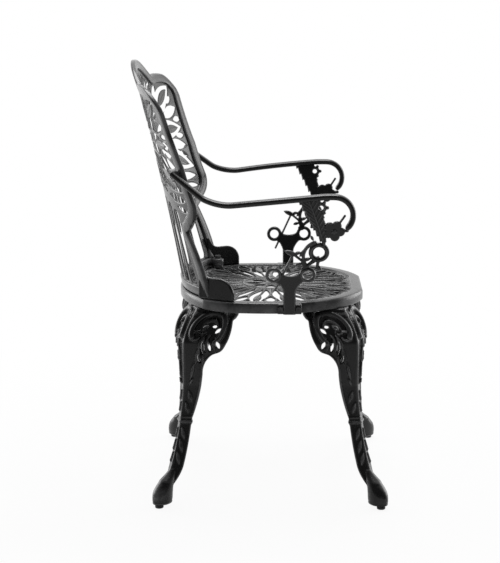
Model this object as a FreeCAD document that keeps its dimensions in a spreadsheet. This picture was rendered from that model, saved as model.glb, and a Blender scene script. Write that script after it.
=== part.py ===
"""Cast garden armchair: pierced seat and backrest, two scroll arms, four cabriole legs.

All sizes are millimetres. +Z is up and the chair faces -Y. While the chair is being
built, Y = 0 is the line through the widest part of the seat; at the end every casting
is shifted so that the chair's own box is centred on X = Y = 0, with the floor at Z = 0.
"""
import FreeCAD, Part
import math
import os

from FreeCAD import Placement, Rotation, Vector

os.makedirs("parts", exist_ok=True)
doc = FreeCAD.newDocument("garden_armchair")

# Driving dimensions: name, value
SIZES = [
    # seat casting
    ("seat_height", 424.0),
    ("seat_half_width", 228.0),
    ("seat_front", 181.0),
    ("seat_rear", 208.0),
    ("seat_front_flat", 150.0),
    ("seat_corner_radius", 198.0),
    ("seat_rear_radius", 338.0),
    ("seat_plate", 7.0),
    ("seat_rim_depth", 22.0),
    ("seat_rim_wall", 8.0),
    ("seat_border", 24.0),
    ("seat_petals", 18.0),
    ("hub_radius", 15.0),
    ("rosette_radius", 54.0),
    ("rosette_petals", 8.0),
    ("ring_width", 11.0),
    # backrest casting
    ("back_top", 900.0),
    ("back_inset", 3.0),
    ("back_lean", 104.0),
    ("back_bow", 5.0),
    ("back_rim", 20.0),
    ("back_rim_thick", 10.0),
    ("back_panel_thick", 7.0),
    ("back_base_radius", 310.0),
    ("back_waist_radius", 410.0),
    ("back_middle_radius", 450.0),
    ("back_shoulder_radius", 640.0),
    ("back_top_radius", 1300.0),
    ("crest_radius", 238.0),
    ("crest_half_width", 135.0),
    ("shoulder_radius", 45.0),
    ("shoulder_half_width", 252.0),
    ("shoulder_drop", 46.0),
    ("rail_half_width", 241.0),
    ("rail_hollow", 8.0),
    ("bulge_height", 628.0),
    ("waist_half_width", 187.0),
    ("waist_height", 563.0),
    ("foot_half_width", 189.0),
    ("reeds", 8.0),
    ("reed_width", 11.0),
    ("reed_top", 628.0),
    ("medallion_height", 738.0),
    ("back_petals", 16.0),
    ("ear_length", 60.0),
    ("ear_height", 44.0),
    ("ear_thick", 8.0),
    ("ear_toe", 29.0),
    ("lug_radius", 13.0),
    ("lug_height", 20.0),
    # arms
    ("arm_height", 656.0),
    ("arm_spread", 287.0),
    ("arm_front", 155.0),
    ("arm_width", 22.0),
    ("arm_thick", 11.5),
    ("arm_dip", 19.0),
    ("arm_scroll_radius", 42.0),
    ("arm_joint_height", 682.0),
    ("joint_boss", 4.0),
    ("support_thick", 9.0),
    ("post_width", 25.0),
    ("post_centre", -25.0),
    ("bracket_length", 49.0),
    ("bracket_thick", 8.0),
    # legs
    ("leg_azimuth", 41.5),
    ("leg_centre", 13.0),
    ("leg_head_reach", 230.0),
    ("leg_knee_reach", 271.0),
    ("leg_foot_reach", 344.0),
    ("leg_wall", 6.0),
    ("leg_half_angle", 54.0),
    ("leg_head_width", 86.0),
    ("leg_knee_width", 92.0),
    ("leg_shaft_width", 39.0),
    ("leg_ankle_width", 22.5),
    ("leg_head_plate", 8.0),
    ("leg_bolt_inset", 46.0),
    ("leg_bolt_spacing", 30.0),
    ("foot_clearance", 8.0),
    ("hoof_width", 36.0),
    ("scroll_radius", 34.0),
    ("scroll_bead", 12.0),
    ("scroll_relief", 8.0),
    # glides and fasteners
    ("glide_diameter", 17.5),
    ("glide_pad_height", 5.0),
    ("stud_diameter", 8.0),
    ("stud_length", 26.0),
    ("bolt_diameter", 8.0),
    ("bolt_head_flats", 13.0),
    ("bolt_head_height", 5.3),
    ("washer_diameter", 16.0),
    ("washer_thick", 1.6),
    ("screw_diameter", 6.0),
    ("screw_head_flats", 10.0),
    ("screw_head_height", 4.0),
    ("fit", 0.1),
]

sizes = doc.addObject("Spreadsheet::Sheet", "sizes")
for row, (name, value) in enumerate(SIZES, start=1):
    sizes.set("A%d" % row, name)
    sizes.set("B%d" % row, str(value))
    sizes.setAlias("B%d" % row, name)
doc.recompute()


def size(name):
    return float(sizes.get(name))


X_AXIS = Vector(1, 0, 0)
Y_AXIS = Vector(0, 1, 0)
Z_AXIS = Vector(0, 0, 1)
FRONT_VIEW = Rotation(X_AXIS, 90)
SIDE_VIEW = Rotation(Vector(1, 1, 1), 120)
FAR = 600.0


# Drawing helpers: outlines are lists of (x, y) moves turned into sketch geometry

def flat(point):
    return Vector(point[0], point[1], 0)


def line(start, end):
    return Part.LineSegment(flat(start), flat(end))


def arc(start, middle, end):
    return Part.Arc(flat(start), flat(middle), flat(end))


def circle(centre, radius):
    return [Part.Circle(flat(centre), Z_AXIS, radius)]


def polar(centre, radius, degrees):
    angle = math.radians(degrees)
    return (centre[0] + radius * math.cos(angle), centre[1] + radius * math.sin(angle))


def centred_arc(centre, radius, start, end):
    return arc(polar(centre, radius, start), polar(centre, radius, (start + end) / 2),
               polar(centre, radius, end))


def polygon(points):
    return [line(a, b) for a, b in zip(points, points[1:] + points[:1])]


def leaf(start, end, width):
    """A lens between two tips, as wide as width at its middle."""
    dx, dy = end[0] - start[0], end[1] - start[1]
    length = math.hypot(dx, dy)
    nx, ny = -dy / length * width / 2, dx / length * width / 2
    mx, my = (start[0] + end[0]) / 2, (start[1] + end[1]) / 2
    return [arc(start, (mx + nx, my + ny), end), arc(end, (mx - nx, my - ny), start)]


def strip(start, end, width):
    """A straight bar between two points, as a closed outline."""
    dx, dy = end[0] - start[0], end[1] - start[1]
    length = math.hypot(dx, dy)
    nx, ny = -dy / length * width / 2, dx / length * width / 2
    return polygon([(start[0] + nx, start[1] + ny), (start[0] - nx, start[1] - ny),
                    (end[0] - nx, end[1] - ny), (end[0] + nx, end[1] + ny)])


def slot(bottom, top, width):
    """An upright slot with round ends."""
    r = width / 2
    x, low, high = bottom[0], bottom[1] + r, top[1] - r
    return [line((x + r, low), (x + r, high)), arc((x + r, high), (x, high + r), (x - r, high)),
            line((x - r, high), (x - r, low)), arc((x - r, low), (x, low - r), (x + r, low))]


def mirrored(half):
    """The other half of an outline whose first and last points lie on x = 0."""
    other = []
    for curve in reversed(half):
        start, end = curve.EndPoint, curve.StartPoint
        if isinstance(curve, Part.LineSegment):
            other.append(line((-start.x, start.y), (-end.x, end.y)))
        else:
            middle = curve.value((curve.FirstParameter + curve.LastParameter) / 2)
            other.append(arc((-start.x, start.y), (-middle.x, middle.y), (-end.x, end.y)))
    return other


def wire_of(curves):
    return Part.Wire(Part.__sortEdges__([curve.toShape() for curve in curves]))


def inset(curves, distance):
    """The outline moved inwards by distance, as sketch geometry."""
    moved = wire_of(curves).makeOffset2D(-distance)
    outline = []
    for edge in moved.Edges:
        first, last = edge.FirstParameter, edge.LastParameter
        start, end = edge.valueAt(first), edge.valueAt(last)
        if isinstance(edge.Curve, Part.Line):
            outline.append(line((start.x, start.y), (end.x, end.y)))
        else:
            middle = edge.valueAt((first + last) / 2)
            outline.append(arc((start.x, start.y), (middle.x, middle.y), (end.x, end.y)))
    return outline


def reach(curves, centre, degrees):
    """How far a ray from the centre runs before it meets the outline."""
    ray = Part.makeLine(flat(centre), flat(polar(centre, FAR, degrees)))
    hit = wire_of(curves).distToShape(ray)
    return min((flat(centre) - pair[0]).Length for pair in hit[1])


def petal_ring(centre, count, inner, limit, gap, eyes, border):
    """Leaf openings that radiate from a ring out to a limit, with round eyes between their tips."""
    openings = []
    pitch = 360.0 / count
    for index in range(int(count)):
        angle = 90 + pitch * index
        outer = limit(angle)
        middle = (inner + outer) / 2
        width = 2 * middle * math.sin(math.radians(pitch / 2)) - gap
        width = min(width, 0.46 * (outer - inner))
        openings += leaf(polar(centre, inner, angle), polar(centre, outer, angle), width)
    solid_edges = Part.Compound([curve.toShape() for curve in openings + border])
    for index in range(int(count)):
        between = 90 + pitch * (index + 0.5)
        eye = polar(centre, limit(between) - eyes, between)
        radius = min(eyes, Part.Vertex(flat(eye)).distToShape(solid_edges)[0] - 0.45 * gap)
        if radius > 0.4 * eyes:
            openings += circle(eye, radius)
    return openings


# Document helpers: every one returns a document object

def sketch(name, curves, rotation=Rotation(), base=Vector()):
    shape = doc.addObject("Sketcher::SketchObject", name)
    shape.addGeometry(curves, False)
    shape.Placement = Placement(base, rotation)
    return shape


def prism(name, curves, rotation, base, direction, length, expression=None):
    profile = sketch(name + "_outline", curves, rotation, base)
    solid = doc.addObject("Part::Extrusion", name)
    solid.Base = profile
    solid.DirMode = "Custom"
    solid.Dir = direction
    solid.LengthFwd = length
    if expression:
        solid.setExpression("LengthFwd", expression)
    solid.Solid = True
    return solid


def fuse(name, shapes):
    joined = doc.addObject("Part::MultiFuse", name)
    joined.Shapes = shapes
    joined.Refine = False
    return joined


def cut(name, base, tool):
    result = doc.addObject("Part::Cut", name)
    result.Base = base
    result.Tool = tool
    result.Refine = False
    return result


def common(name, base, tool):
    result = doc.addObject("Part::Common", name)
    result.Base = base
    result.Tool = tool
    result.Refine = False
    return result


def group(name, shapes):
    gathered = doc.addObject("Part::Compound", name)
    gathered.Links = shapes
    return gathered


def cylinder(name, base, axis, radius, height):
    """A round bar; radius and height are sheet expressions."""
    bar = doc.addObject("Part::Cylinder", name)
    bar.setExpression("Radius", radius)
    bar.setExpression("Height", height)
    bar.Placement = Placement(base, Rotation(Z_AXIS, axis))
    return bar


def hexagon(name, base, axis, flats, height):
    """A six-sided head or nut; flats and height are sheet expressions."""
    head = doc.addObject("Part::Prism", name)
    head.Polygon = 6
    head.setExpression("Circumradius", "(%s) / sqrt(3)" % flats)
    head.setExpression("Height", height)
    head.Placement = Placement(base, Rotation(Z_AXIS, axis))
    return head


def body_plane(body, role):
    return next(f for f in body.Origin.OriginFeatures if f.Role == role)


def body_sketch(body, name, curves, height):
    """A level sketch of a body, at a height that is a sheet expression."""
    drawn = body.newObject("Sketcher::SketchObject", name)
    drawn.AttachmentSupport = [(body_plane(body, "XY_Plane"), "")]
    drawn.MapMode = "FlatFace"
    drawn.setExpression("AttachmentOffset.Base.z", height)
    drawn.addGeometry(curves, False)
    return drawn


def pad(body, name, profile, length):
    raised = body.newObject("PartDesign::Pad", name)
    raised.Profile = profile
    raised.setExpression("Length", length)
    return raised


def pocket(body, name, profile, length, upwards):
    sunk = body.newObject("PartDesign::Pocket", name)
    sunk.Profile = profile
    sunk.Reversed = upwards
    sunk.setExpression("Length", length)
    return sunk


# Places that several castings share

SEAT_TOP = size("seat_height")
RIM_BOTTOM = SEAT_TOP - size("seat_rim_depth")
LEG_CENTRE = (0.0, size("leg_centre"))
LEG_ANGLES = {
    "front_left": -size("leg_azimuth"),
    "front_right": 180 + size("leg_azimuth"),
    "rear_left": size("leg_azimuth"),
    "rear_right": 180 - size("leg_azimuth"),
}


def seat_edge():
    """Plan of the seat: flat front, round front corners, straighter sides, arched rear."""
    half_front = size("seat_front_flat") / 2
    radius = size("seat_corner_radius")
    width = size("seat_half_width")
    front, rear, sweep = -size("seat_front"), size("seat_rear"), size("seat_rear_radius")
    centre = (width - radius, math.sqrt(radius ** 2 - (half_front - width + radius) ** 2) + front)
    side_low = (width, centre[1])
    side_high = (width - 5.0, 88.0)
    rear_x = 186.0
    rear_corner = (rear_x, rear - sweep + math.sqrt(sweep ** 2 - rear_x ** 2))
    start = math.degrees(math.atan2(front - centre[1], half_front - centre[0]))
    half = [
        line((0, front), (half_front, front)),
        centred_arc(centre, radius, start, 0),
        arc(side_low, (width - 1.0, (side_low[1] + side_high[1]) / 2), side_high),
        arc(side_high, (width - 18.0, 122.0), rear_corner),
        arc(rear_corner, (rear_x / 2, rear - sweep + math.sqrt(sweep ** 2 - rear_x ** 2 / 4)), (0, rear)),
    ]
    return half + mirrored(half)


SEAT_EDGE = seat_edge()
SEAT_MIDDLE = (0.0, (size("seat_rear") - size("seat_front")) / 2)


# Backrest surface: level arcs that are tighter at the seat and flatter at the crest

def back_centre(height):
    """Y of the rear face on the centre line, at a height."""
    low, high = SEAT_TOP, size("back_top")
    share = (height - low) / (high - low)
    bow = -4 * size("back_bow") * share * (1 - share)
    return size("seat_rear") - size("back_inset") + size("back_lean") * share + bow


SECTION_HEIGHTS = [SEAT_TOP, 560.0, 700.0, 820.0, size("back_top")]
SECTION_RADII = [size("back_base_radius"), size("back_waist_radius"), size("back_middle_radius"),
                 size("back_shoulder_radius"), size("back_top_radius")]


def back_rear(x, height):
    """Y of the rear face at any place, between the level arcs."""
    curvature = 0.0
    for low, high, first, last in zip(SECTION_HEIGHTS, SECTION_HEIGHTS[1:], SECTION_RADII, SECTION_RADII[1:]):
        if low <= height <= high:
            share = (height - low) / (high - low)
            curvature = (1 - share) / first + share / last
    radius = 1 / curvature
    return back_centre(height) - radius + math.sqrt(radius ** 2 - x ** 2)


def back_slab(name, skin, thick):
    """Solid between two faces of the curved back: skin behind the rear face's line, thick deep."""
    reach_x = size("rail_half_width") + 25.0
    sections = []
    for height, radius in zip(SECTION_HEIGHTS, SECTION_RADII):
        rear = back_centre(height) - skin
        centre = (0, rear - radius)
        outer = math.degrees(math.acos(reach_x / radius))
        inner_radius = radius - thick
        inner = math.degrees(math.acos(reach_x / inner_radius))
        curves = [
            centred_arc(centre, radius, outer, 180 - outer),
            line(polar(centre, radius, 180 - outer), polar(centre, inner_radius, 180 - inner)),
            centred_arc(centre, inner_radius, 180 - inner, inner),
            line(polar(centre, inner_radius, inner), polar(centre, radius, outer)),
        ]
        section = sketch("%s_section_%d" % (name, height), curves, Rotation(), Vector(0, 0, height))
        sections.append(section)
    slab = doc.addObject("Part::Loft", name)
    slab.Sections = sections
    slab.Solid = True
    slab.Ruled = False
    return slab


def back_edge():
    """Front view of the backrest: crest, shoulders, rails with a bulge, waist and feet."""
    top, crest = size("back_top"), size("crest_radius")
    notch_x = size("crest_half_width")
    notch = (notch_x, top - crest + math.sqrt(crest ** 2 - notch_x ** 2))
    radius, rail = size("shoulder_radius"), size("rail_half_width")
    shoulder = (size("shoulder_half_width") - radius, notch[1] - size("shoulder_drop"))
    brow, flank = polar(shoulder, radius, 80), polar(shoulder, radius, -8)
    bulge = size("bulge_height")
    waist = (size("waist_half_width"), size("waist_height"))
    foot = size("foot_half_width")
    roll = (rail - 25.0, bulge - 45.0)
    half = [
        arc((0, top), (notch_x / 2, top - crest + math.sqrt(crest ** 2 - notch_x ** 2 / 4)), notch),
        arc(notch, ((notch[0] + brow[0]) / 2, max(notch[1], brow[1]) + 2.0), brow),
        centred_arc(shoulder, radius, 80, -8),
        arc(flank, (rail - size("rail_hollow") + 2.0, (flank[1] + bulge) / 2 - 12.0), (rail, bulge)),
        arc((rail, bulge), (rail - 7.5, bulge - 28.0), roll),
        arc(roll, ((roll[0] + waist[0]) / 2, (roll[1] + waist[1]) / 2 - 2.0), waist),
        arc(waist, (foot + 7.0, (waist[1] + SEAT_TOP) / 2 + 15), (foot, SEAT_TOP)),
        line((foot, SEAT_TOP), (0, SEAT_TOP)),
    ]
    return half + mirrored(half)


BACK_EDGE = back_edge()
BACK_FIELD = inset(BACK_EDGE, size("back_rim"))
MEDALLION = (0.0, size("medallion_height"))


def back_openings():
    """Reeded lower half, and leaf openings around a medallion in the upper half."""
    count = int(size("reeds")) + 1
    floor = SEAT_TOP + size("back_rim") + 2.0
    room = 2 * (size("waist_half_width") - size("back_rim") - 6.0)
    width = (room - size("reeds") * size("reed_width")) / count
    openings = []
    for index in range(count):
        x = (index - (count - 1) / 2) * (width + size("reed_width"))
        top = size("reed_top") - 0.0011 * x ** 2
        openings += slot((x, floor), (x, top), width)
    outer_ring = size("rosette_radius") + size("ring_width")
    band = size("reed_top") + size("ring_width")

    def limit(angle):
        run = reach(BACK_FIELD, MEDALLION, angle) - 5.0
        fall = math.sin(math.radians(angle))
        if fall < -0.05:
            run = min(run, (MEDALLION[1] - band) / -fall)
        return run

    openings += petal_ring(MEDALLION, size("back_petals"), outer_ring, limit, size("ring_width"), 10.0,
                           BACK_FIELD)
    for index in range(int(size("rosette_petals"))):
        angle = 90 + index * 360.0 / size("rosette_petals")
        openings += leaf(polar(MEDALLION, size("hub_radius") + 3, angle),
                         polar(MEDALLION, size("rosette_radius"), angle), 0.4 * size("rosette_radius"))
    return openings


# Seat casting

seat = doc.addObject("PartDesign::Body", "seat")
seat_pad = pad(seat, "seat_block",
               body_sketch(seat, "seat_plan", SEAT_EDGE, "sizes.seat_height - sizes.seat_rim_depth"),
               "sizes.seat_rim_depth")
seat_hollow = pocket(seat, "seat_hollow",
                     body_sketch(seat, "seat_hollow_plan", inset(SEAT_EDGE, size("seat_rim_wall")),
                                 "sizes.seat_height - sizes.seat_rim_depth"),
                     "sizes.seat_rim_depth - sizes.seat_plate", True)

SEAT_FIELD = inset(SEAT_EDGE, size("seat_border"))
seat_openings = petal_ring(SEAT_MIDDLE, size("seat_petals"), size("rosette_radius") + size("ring_width"),
                           lambda angle: reach(SEAT_FIELD, SEAT_MIDDLE, angle), size("ring_width"), 10.0,
                           inset(SEAT_EDGE, size("seat_border") / 2))
for index in range(int(size("rosette_petals"))):
    turn = 90 + index * 360.0 / size("rosette_petals")
    seat_openings += leaf(polar(SEAT_MIDDLE, size("hub_radius") + 3, turn),
                          polar(SEAT_MIDDLE, size("rosette_radius"), turn), 0.4 * size("rosette_radius"))
pocket(seat, "seat_piercing",
       body_sketch(seat, "seat_piercing_plan", seat_openings, "sizes.seat_height"),
       "sizes.seat_rim_depth", False)


def leg_point(azimuth, outward, sideways):
    """A plan point given along and across a leg's own diagonal."""
    centre = polar(LEG_CENTRE, outward, azimuth)
    return polar(centre, sideways, azimuth + 90)


leg_bolt_reach = size("leg_head_reach") - size("leg_bolt_inset")
leg_bolt_points = [leg_point(azimuth, leg_bolt_reach, side * size("leg_bolt_spacing") / 2)
                   for azimuth in LEG_ANGLES.values() for side in (-1, 1)]
LUG_X = size("foot_half_width") - size("lug_radius") - 5.0
LUG_Y = back_rear(LUG_X, SEAT_TOP) - size("back_rim_thick") - size("lug_radius") + 4.0
back_bolt_points = [(LUG_X, LUG_Y), (-LUG_X, LUG_Y)]

boss_circles = []
hole_circles = []
for point in leg_bolt_points:
    boss_circles += circle(point, 11.0)
    hole_circles += circle(point, size("bolt_diameter") / 2 + size("fit"))
pad(seat, "leg_bosses",
    body_sketch(seat, "leg_boss_plan", boss_circles, "sizes.seat_height - sizes.seat_rim_depth"),
    "sizes.seat_rim_depth")
pocket(seat, "leg_bolt_holes",
       body_sketch(seat, "leg_bolt_plan", hole_circles, "sizes.seat_height - sizes.seat_rim_depth"),
       "sizes.seat_rim_depth - 3", True)
pad(seat, "back_seats",
    body_sketch(seat, "back_seat_plan", [c for p in back_bolt_points for c in circle(p, 14.0)],
                "sizes.seat_height - sizes.seat_plate - 3"),
    "sizes.seat_plate + 3")
pocket(seat, "back_bolt_holes",
       body_sketch(seat, "back_bolt_plan",
                   [c for p in back_bolt_points
                    for c in circle(p, size("bolt_diameter") / 2 + size("fit"))], "sizes.seat_height"),
       "sizes.seat_rim_depth", False)

# Backrest casting

back_direction = Vector(0, 1, 0)
rim_band = prism("back_rim_band", BACK_EDGE + BACK_FIELD, FRONT_VIEW, Vector(), back_direction, FAR)
panel_face = prism("back_panel_face", inset(BACK_EDGE, size("back_rim") - 4.0) + back_openings(),
                   FRONT_VIEW, Vector(), back_direction, FAR)
rim_slab = back_slab("back_rim_slab", 0.0, size("back_rim_thick"))
panel_slab = back_slab("back_panel_slab", 1.0, size("back_panel_thick"))
back_rim = common("back_rim_ring", rim_slab, rim_band)
back_panel = common("back_panel_grille", panel_slab, panel_face)


def ear(name, side):
    """Plate from the foot of a rail, forward along the edge of the seat."""
    length, height = size("ear_length"), size("ear_height")
    toe = math.radians(size("ear_toe"))
    root_x = size("foot_half_width") - size("ear_thick")
    root_y = back_rear(root_x, SEAT_TOP) - size("back_rim_thick") + 2
    climb = 1.4 * height
    lean = (back_rear(root_x, SEAT_TOP + climb) - back_rear(root_x, SEAT_TOP)) / math.cos(toe)
    nose = 0.72 * height
    curves = [
        line((0, 0), (length, 0)),
        arc((length, 0), (length - 0.27 * nose, 0.75 * height), (length - nose, height)),
        arc((length - nose, height), (0.55 * (length - nose), height + 1), (0, 1.1 * height)),
        line((0, 1.1 * height), (-lean, climb)),
        line((-lean, climb), (0, 0)),
    ]
    along = Vector(side * math.sin(toe), -math.cos(toe), 0)
    across = Z_AXIS.cross(along) * side
    turn = Rotation(along, Z_AXIS, along.cross(Z_AXIS), "XYZ")
    return prism(name, curves, turn, Vector(side * root_x, root_y, SEAT_TOP), across,
                 size("ear_thick"), "sizes.ear_thick")


def lug(name, point):
    return cylinder(name, Vector(point[0], point[1], SEAT_TOP), Z_AXIS, "sizes.lug_radius",
                    "sizes.lug_height")


JOINT_X = size("rail_half_width") - 1.2 * size("rail_hollow") - size("back_rim") / 2
JOINT_Z = size("arm_joint_height")
JOINT_TURN = 30.0
JOINT_GRIP = size("joint_boss") + size("back_rim_thick") / 2


def joint_axis(side):
    """Direction in which an arm's rear bolt points, out of the back of the rim."""
    turn = math.radians(JOINT_TURN)
    return Vector(side * math.sin(turn), math.cos(turn), 0)


def joint_seat(side):
    """Middle of the flat seat behind the rim that the arm's rear tab lies on."""
    surface = Vector(side * JOINT_X, back_rear(JOINT_X, JOINT_Z), JOINT_Z)
    return surface + joint_axis(side) * size("joint_boss")


back_parts = [back_rim, back_panel]
back_holes = []
for side, word in ((1, "left"), (-1, "right")):
    back_parts.append(ear("ear_" + word, side))
    back_parts.append(lug("lug_" + word, (side * LUG_X, LUG_Y)))
    back_parts.append(cylinder("joint_boss_" + word, joint_seat(side) - joint_axis(side) * 8,
                               joint_axis(side), "sizes.back_rim / 2 - 1", "8"))
    back_holes.append(cylinder("joint_hole_" + word, joint_seat(side) - joint_axis(side) * 30,
                               joint_axis(side), "sizes.screw_diameter / 2 + sizes.fit", "60"))
    back_holes.append(cylinder("joint_sink_" + word, joint_seat(side) - joint_axis(side) * JOINT_GRIP,
                               -joint_axis(side), "sizes.screw_head_flats / 2 + 0.3", "30"))
    back_holes.append(cylinder("lug_hole_" + word, Vector(side * LUG_X, LUG_Y, SEAT_TOP - 5),
                               Z_AXIS, "sizes.bolt_diameter / 2 + sizes.fit", "sizes.lug_height + 10"))
backrest = cut("backrest", fuse("back_casting", back_parts), fuse("back_drillings", back_holes))

# Right-hand arm casting, seen from its own side: the outline's first number is Y

POST = size("post_centre")
ARM_TOP = size("arm_height")
SCROLL = (-size("arm_front") + size("arm_scroll_radius"), ARM_TOP - size("arm_scroll_radius"))
SCROLL_END = 230.0
DIP = (93.0, ARM_TOP - size("arm_dip"))


def arm_band():
    """Side view of the arm rail: from the backrest down to the dip, up to the crown and round."""
    thick, radius = size("arm_thick"), size("arm_scroll_radius")
    inner = radius - thick
    rear, bend = (206.0, JOINT_Z + 12.0), (146.0, DIP[1] + 11.0)
    slope = math.atan2(rear[1] - bend[1], rear[0] - bend[0])
    drop = (thick * math.sin(slope), -thick * math.cos(slope))
    low_rear, low_bend = (rear[0] + drop[0], rear[1] + drop[1]), (bend[0] + drop[0], bend[1] + drop[1])
    crown = (SCROLL[0] + 20, ARM_TOP)
    low_dip, low_crown = (DIP[0], DIP[1] - thick), (crown[0], ARM_TOP - thick)
    return [
        line(rear, bend),
        arc(bend, (121.0, DIP[1] + 2.6), DIP),
        arc(DIP, (0.0, ARM_TOP - 8.5), crown),
        line(crown, (SCROLL[0], ARM_TOP)),
        centred_arc(SCROLL, radius, 90, SCROLL_END),
        line(polar(SCROLL, radius, SCROLL_END), polar(SCROLL, inner, SCROLL_END)),
        centred_arc(SCROLL, inner, SCROLL_END, 90),
        line((SCROLL[0], ARM_TOP - thick), low_crown),
        arc(low_crown, (0.0, ARM_TOP - 8.5 - thick), low_dip),
        arc(low_dip, (123.0, DIP[1] + 2.6 - thick), low_bend),
        line(low_bend, low_rear),
        line(low_rear, rear),
    ]


def arm_plan():
    """Plan of the right arm rail: bowed outwards from the backrest, straight along the front."""
    half = size("arm_width") / 2
    spread = size("arm_spread")
    rear_x, rear_y = -(JOINT_X + 17.0), 216.0
    bow_x, bow_y = 9.0 - spread, 90.0
    turn_y, front_y = -100.0, -FAR / 3
    return [
        arc((rear_x - half, rear_y), (bow_x - half, bow_y), (-spread - half, turn_y)),
        line((-spread - half, turn_y), (-spread - half, front_y)),
        line((-spread - half, front_y), (-spread + half, front_y)),
        line((-spread + half, front_y), (-spread + half, turn_y)),
        arc((-spread + half, turn_y), (bow_x + half, bow_y), (rear_x + half, rear_y)),
        line((rear_x + half, rear_y), (rear_x - half, rear_y)),
    ]


arm_side = prism("arm_side_band", arm_band(), SIDE_VIEW, Vector(-FAR, 0, 0), X_AXIS, FAR)
arm_above = prism("arm_plan_band", arm_plan(), Rotation(), Vector(), Z_AXIS, 2 * FAR)
arm_rail = common("arm_rail", arm_side, arm_above)

BRACKET_LOW = RIM_BOTTOM + 1.0
SUPPORT_LEAN = math.degrees(math.atan2(size("arm_spread") - size("seat_half_width") - 8.0,
                                       ARM_TOP - size("arm_thick") - SEAT_TOP))


def plate(curves):
    """A flat piece of the support, as thick as the casting."""
    return Part.Face(wire_of(curves)).extrude(Vector(0, 0, -size("support_thick")))


def volute(centre, radius, hole):
    return plate(circle(centre, radius)).cut(plate(circle(centre, hole)))


def support_scrollwork():
    """Scrollwork from seat to arm rail: post, forked scrolls, sprig, wreath, frond and flower."""
    left, right = POST - size("post_width") / 2, POST + size("post_width") / 2
    fork = SEAT_TOP + 50.0
    rear_scroll, front_scroll = (7.0, SEAT_TOP + 66.0), (-61.0, SEAT_TOP + 67.0)
    wreath = (-83.0, SEAT_TOP + 116.0)
    flower = (-112.0, SEAT_TOP + 162.0)
    bud = (-86.0, ARM_TOP - 21.0)
    frond_foot, under_rail = (-92.0, SEAT_TOP + 128.0), ARM_TOP - 4.0
    sprig = (-50.0, SEAT_TOP + 97.0)
    pieces = [
        plate(polygon([(left, BRACKET_LOW), (right, BRACKET_LOW), (right, fork - 12), (left, fork - 12)])),
        plate(polygon([(left, fork - 20), (right, fork - 20), (rear_scroll[0] - 8, fork + 4),
                       (POST + 6, fork + 12), (POST - 6, fork + 12), (front_scroll[0] + 8, fork + 4)])),
        volute(rear_scroll, 17.0, 9.5),
        volute(front_scroll, 17.0, 9.0),
        volute(wreath, 21.0, 11.0),
        plate(strip((-57.0, SEAT_TOP + 80.0), (-53.0, SEAT_TOP + 117.0), 7.0)),
        plate(strip((-53.0, SEAT_TOP + 115.0), (-74.0, SEAT_TOP + 141.0), 7.0)),
        plate(strip((-51.0, SEAT_TOP + 80.0), (-72.0, SEAT_TOP + 101.0), 7.0)),
        plate(strip((-79.0, SEAT_TOP + 80.0), (-82.0, SEAT_TOP + 99.0), 8.0)),
        plate([arc((-40.0, under_rail), (-58.0, SEAT_TOP + 172.0), frond_foot),
               arc(frond_foot, (-92.0, SEAT_TOP + 166.0), (-78.0, under_rail)),
               line((-78.0, under_rail), (-40.0, under_rail))]),
        volute(bud, 11.5, 5.0),
        plate(strip((4.0, SEAT_TOP + 34.0), (-30.0, SEAT_TOP + 110.0), 5.0)),
        plate(leaf((-14.0, SEAT_TOP + 119.0), (-42.0, SEAT_TOP + 107.0), 10.0)),
        plate(strip((-34.0, SEAT_TOP + 111.0), sprig, 6.0)),
        plate(strip(sprig, (-55.0, SEAT_TOP + 82.0), 6.0)),
        plate(circle(flower, 9.0)),
        plate(leaf((-86.0, SEAT_TOP + 148.0), flower, 12.0)),
        plate(strip(flower, (-133.0, SEAT_TOP + 194.0), 5.0)),
        plate(leaf(flower, polar(SCROLL, size("arm_scroll_radius") - 4, SCROLL_END), 12.0)),
    ]
    for index in range(5):
        pieces.append(plate(circle(polar(flower, 12.5, 45 + 72 * index), 10.0)))
    return pieces[0].fuse(pieces[1:])


support = doc.addObject("Part::Feature", "arm_support")
support.Shape = support_scrollwork()
support_root = Vector(-size("seat_half_width") - 1.0, 0, BRACKET_LOW)
lean_out = Rotation(Y_AXIS, -SUPPORT_LEAN)
support.Placement = Placement(support_root - lean_out.multVec(Vector(0, 0, BRACKET_LOW)),
                              lean_out.multiply(SIDE_VIEW))

RAIL_MIDDLE = ARM_TOP - size("arm_thick") / 2
below_outline = polygon([(-FAR, BRACKET_LOW), (FAR, BRACKET_LOW), (FAR, RAIL_MIDDLE), (-FAR, RAIL_MIDDLE)])
below_rail = prism("below_arm_rail", below_outline, SIDE_VIEW, Vector(-FAR, 0, 0), X_AXIS, FAR)

bracket = doc.addObject("Part::Box", "arm_bracket")
bracket.setExpression("Length", "sizes.bracket_thick + 20")
bracket.setExpression("Width", "sizes.bracket_length")
bracket.setExpression("Height", "sizes.seat_rim_depth - 2")
bracket.setExpression("Placement.Base.x", "-(sizes.seat_half_width + sizes.bracket_thick)")
bracket.setExpression("Placement.Base.y", "sizes.post_centre - sizes.bracket_length / 2")
bracket.setExpression("Placement.Base.z", "sizes.seat_height - sizes.seat_rim_depth + 1")
seat_block = prism("seat_clearance", inset(SEAT_EDGE, -size("fit")), Rotation(),
                   Vector(0, 0, RIM_BOTTOM - 50), Z_AXIS, 80.0 + size("seat_rim_depth"))

tab_normal = joint_axis(-1)
tab = cylinder("arm_tab", joint_seat(-1), tab_normal, "sizes.arm_width / 2", "sizes.arm_thick - 1")

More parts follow.
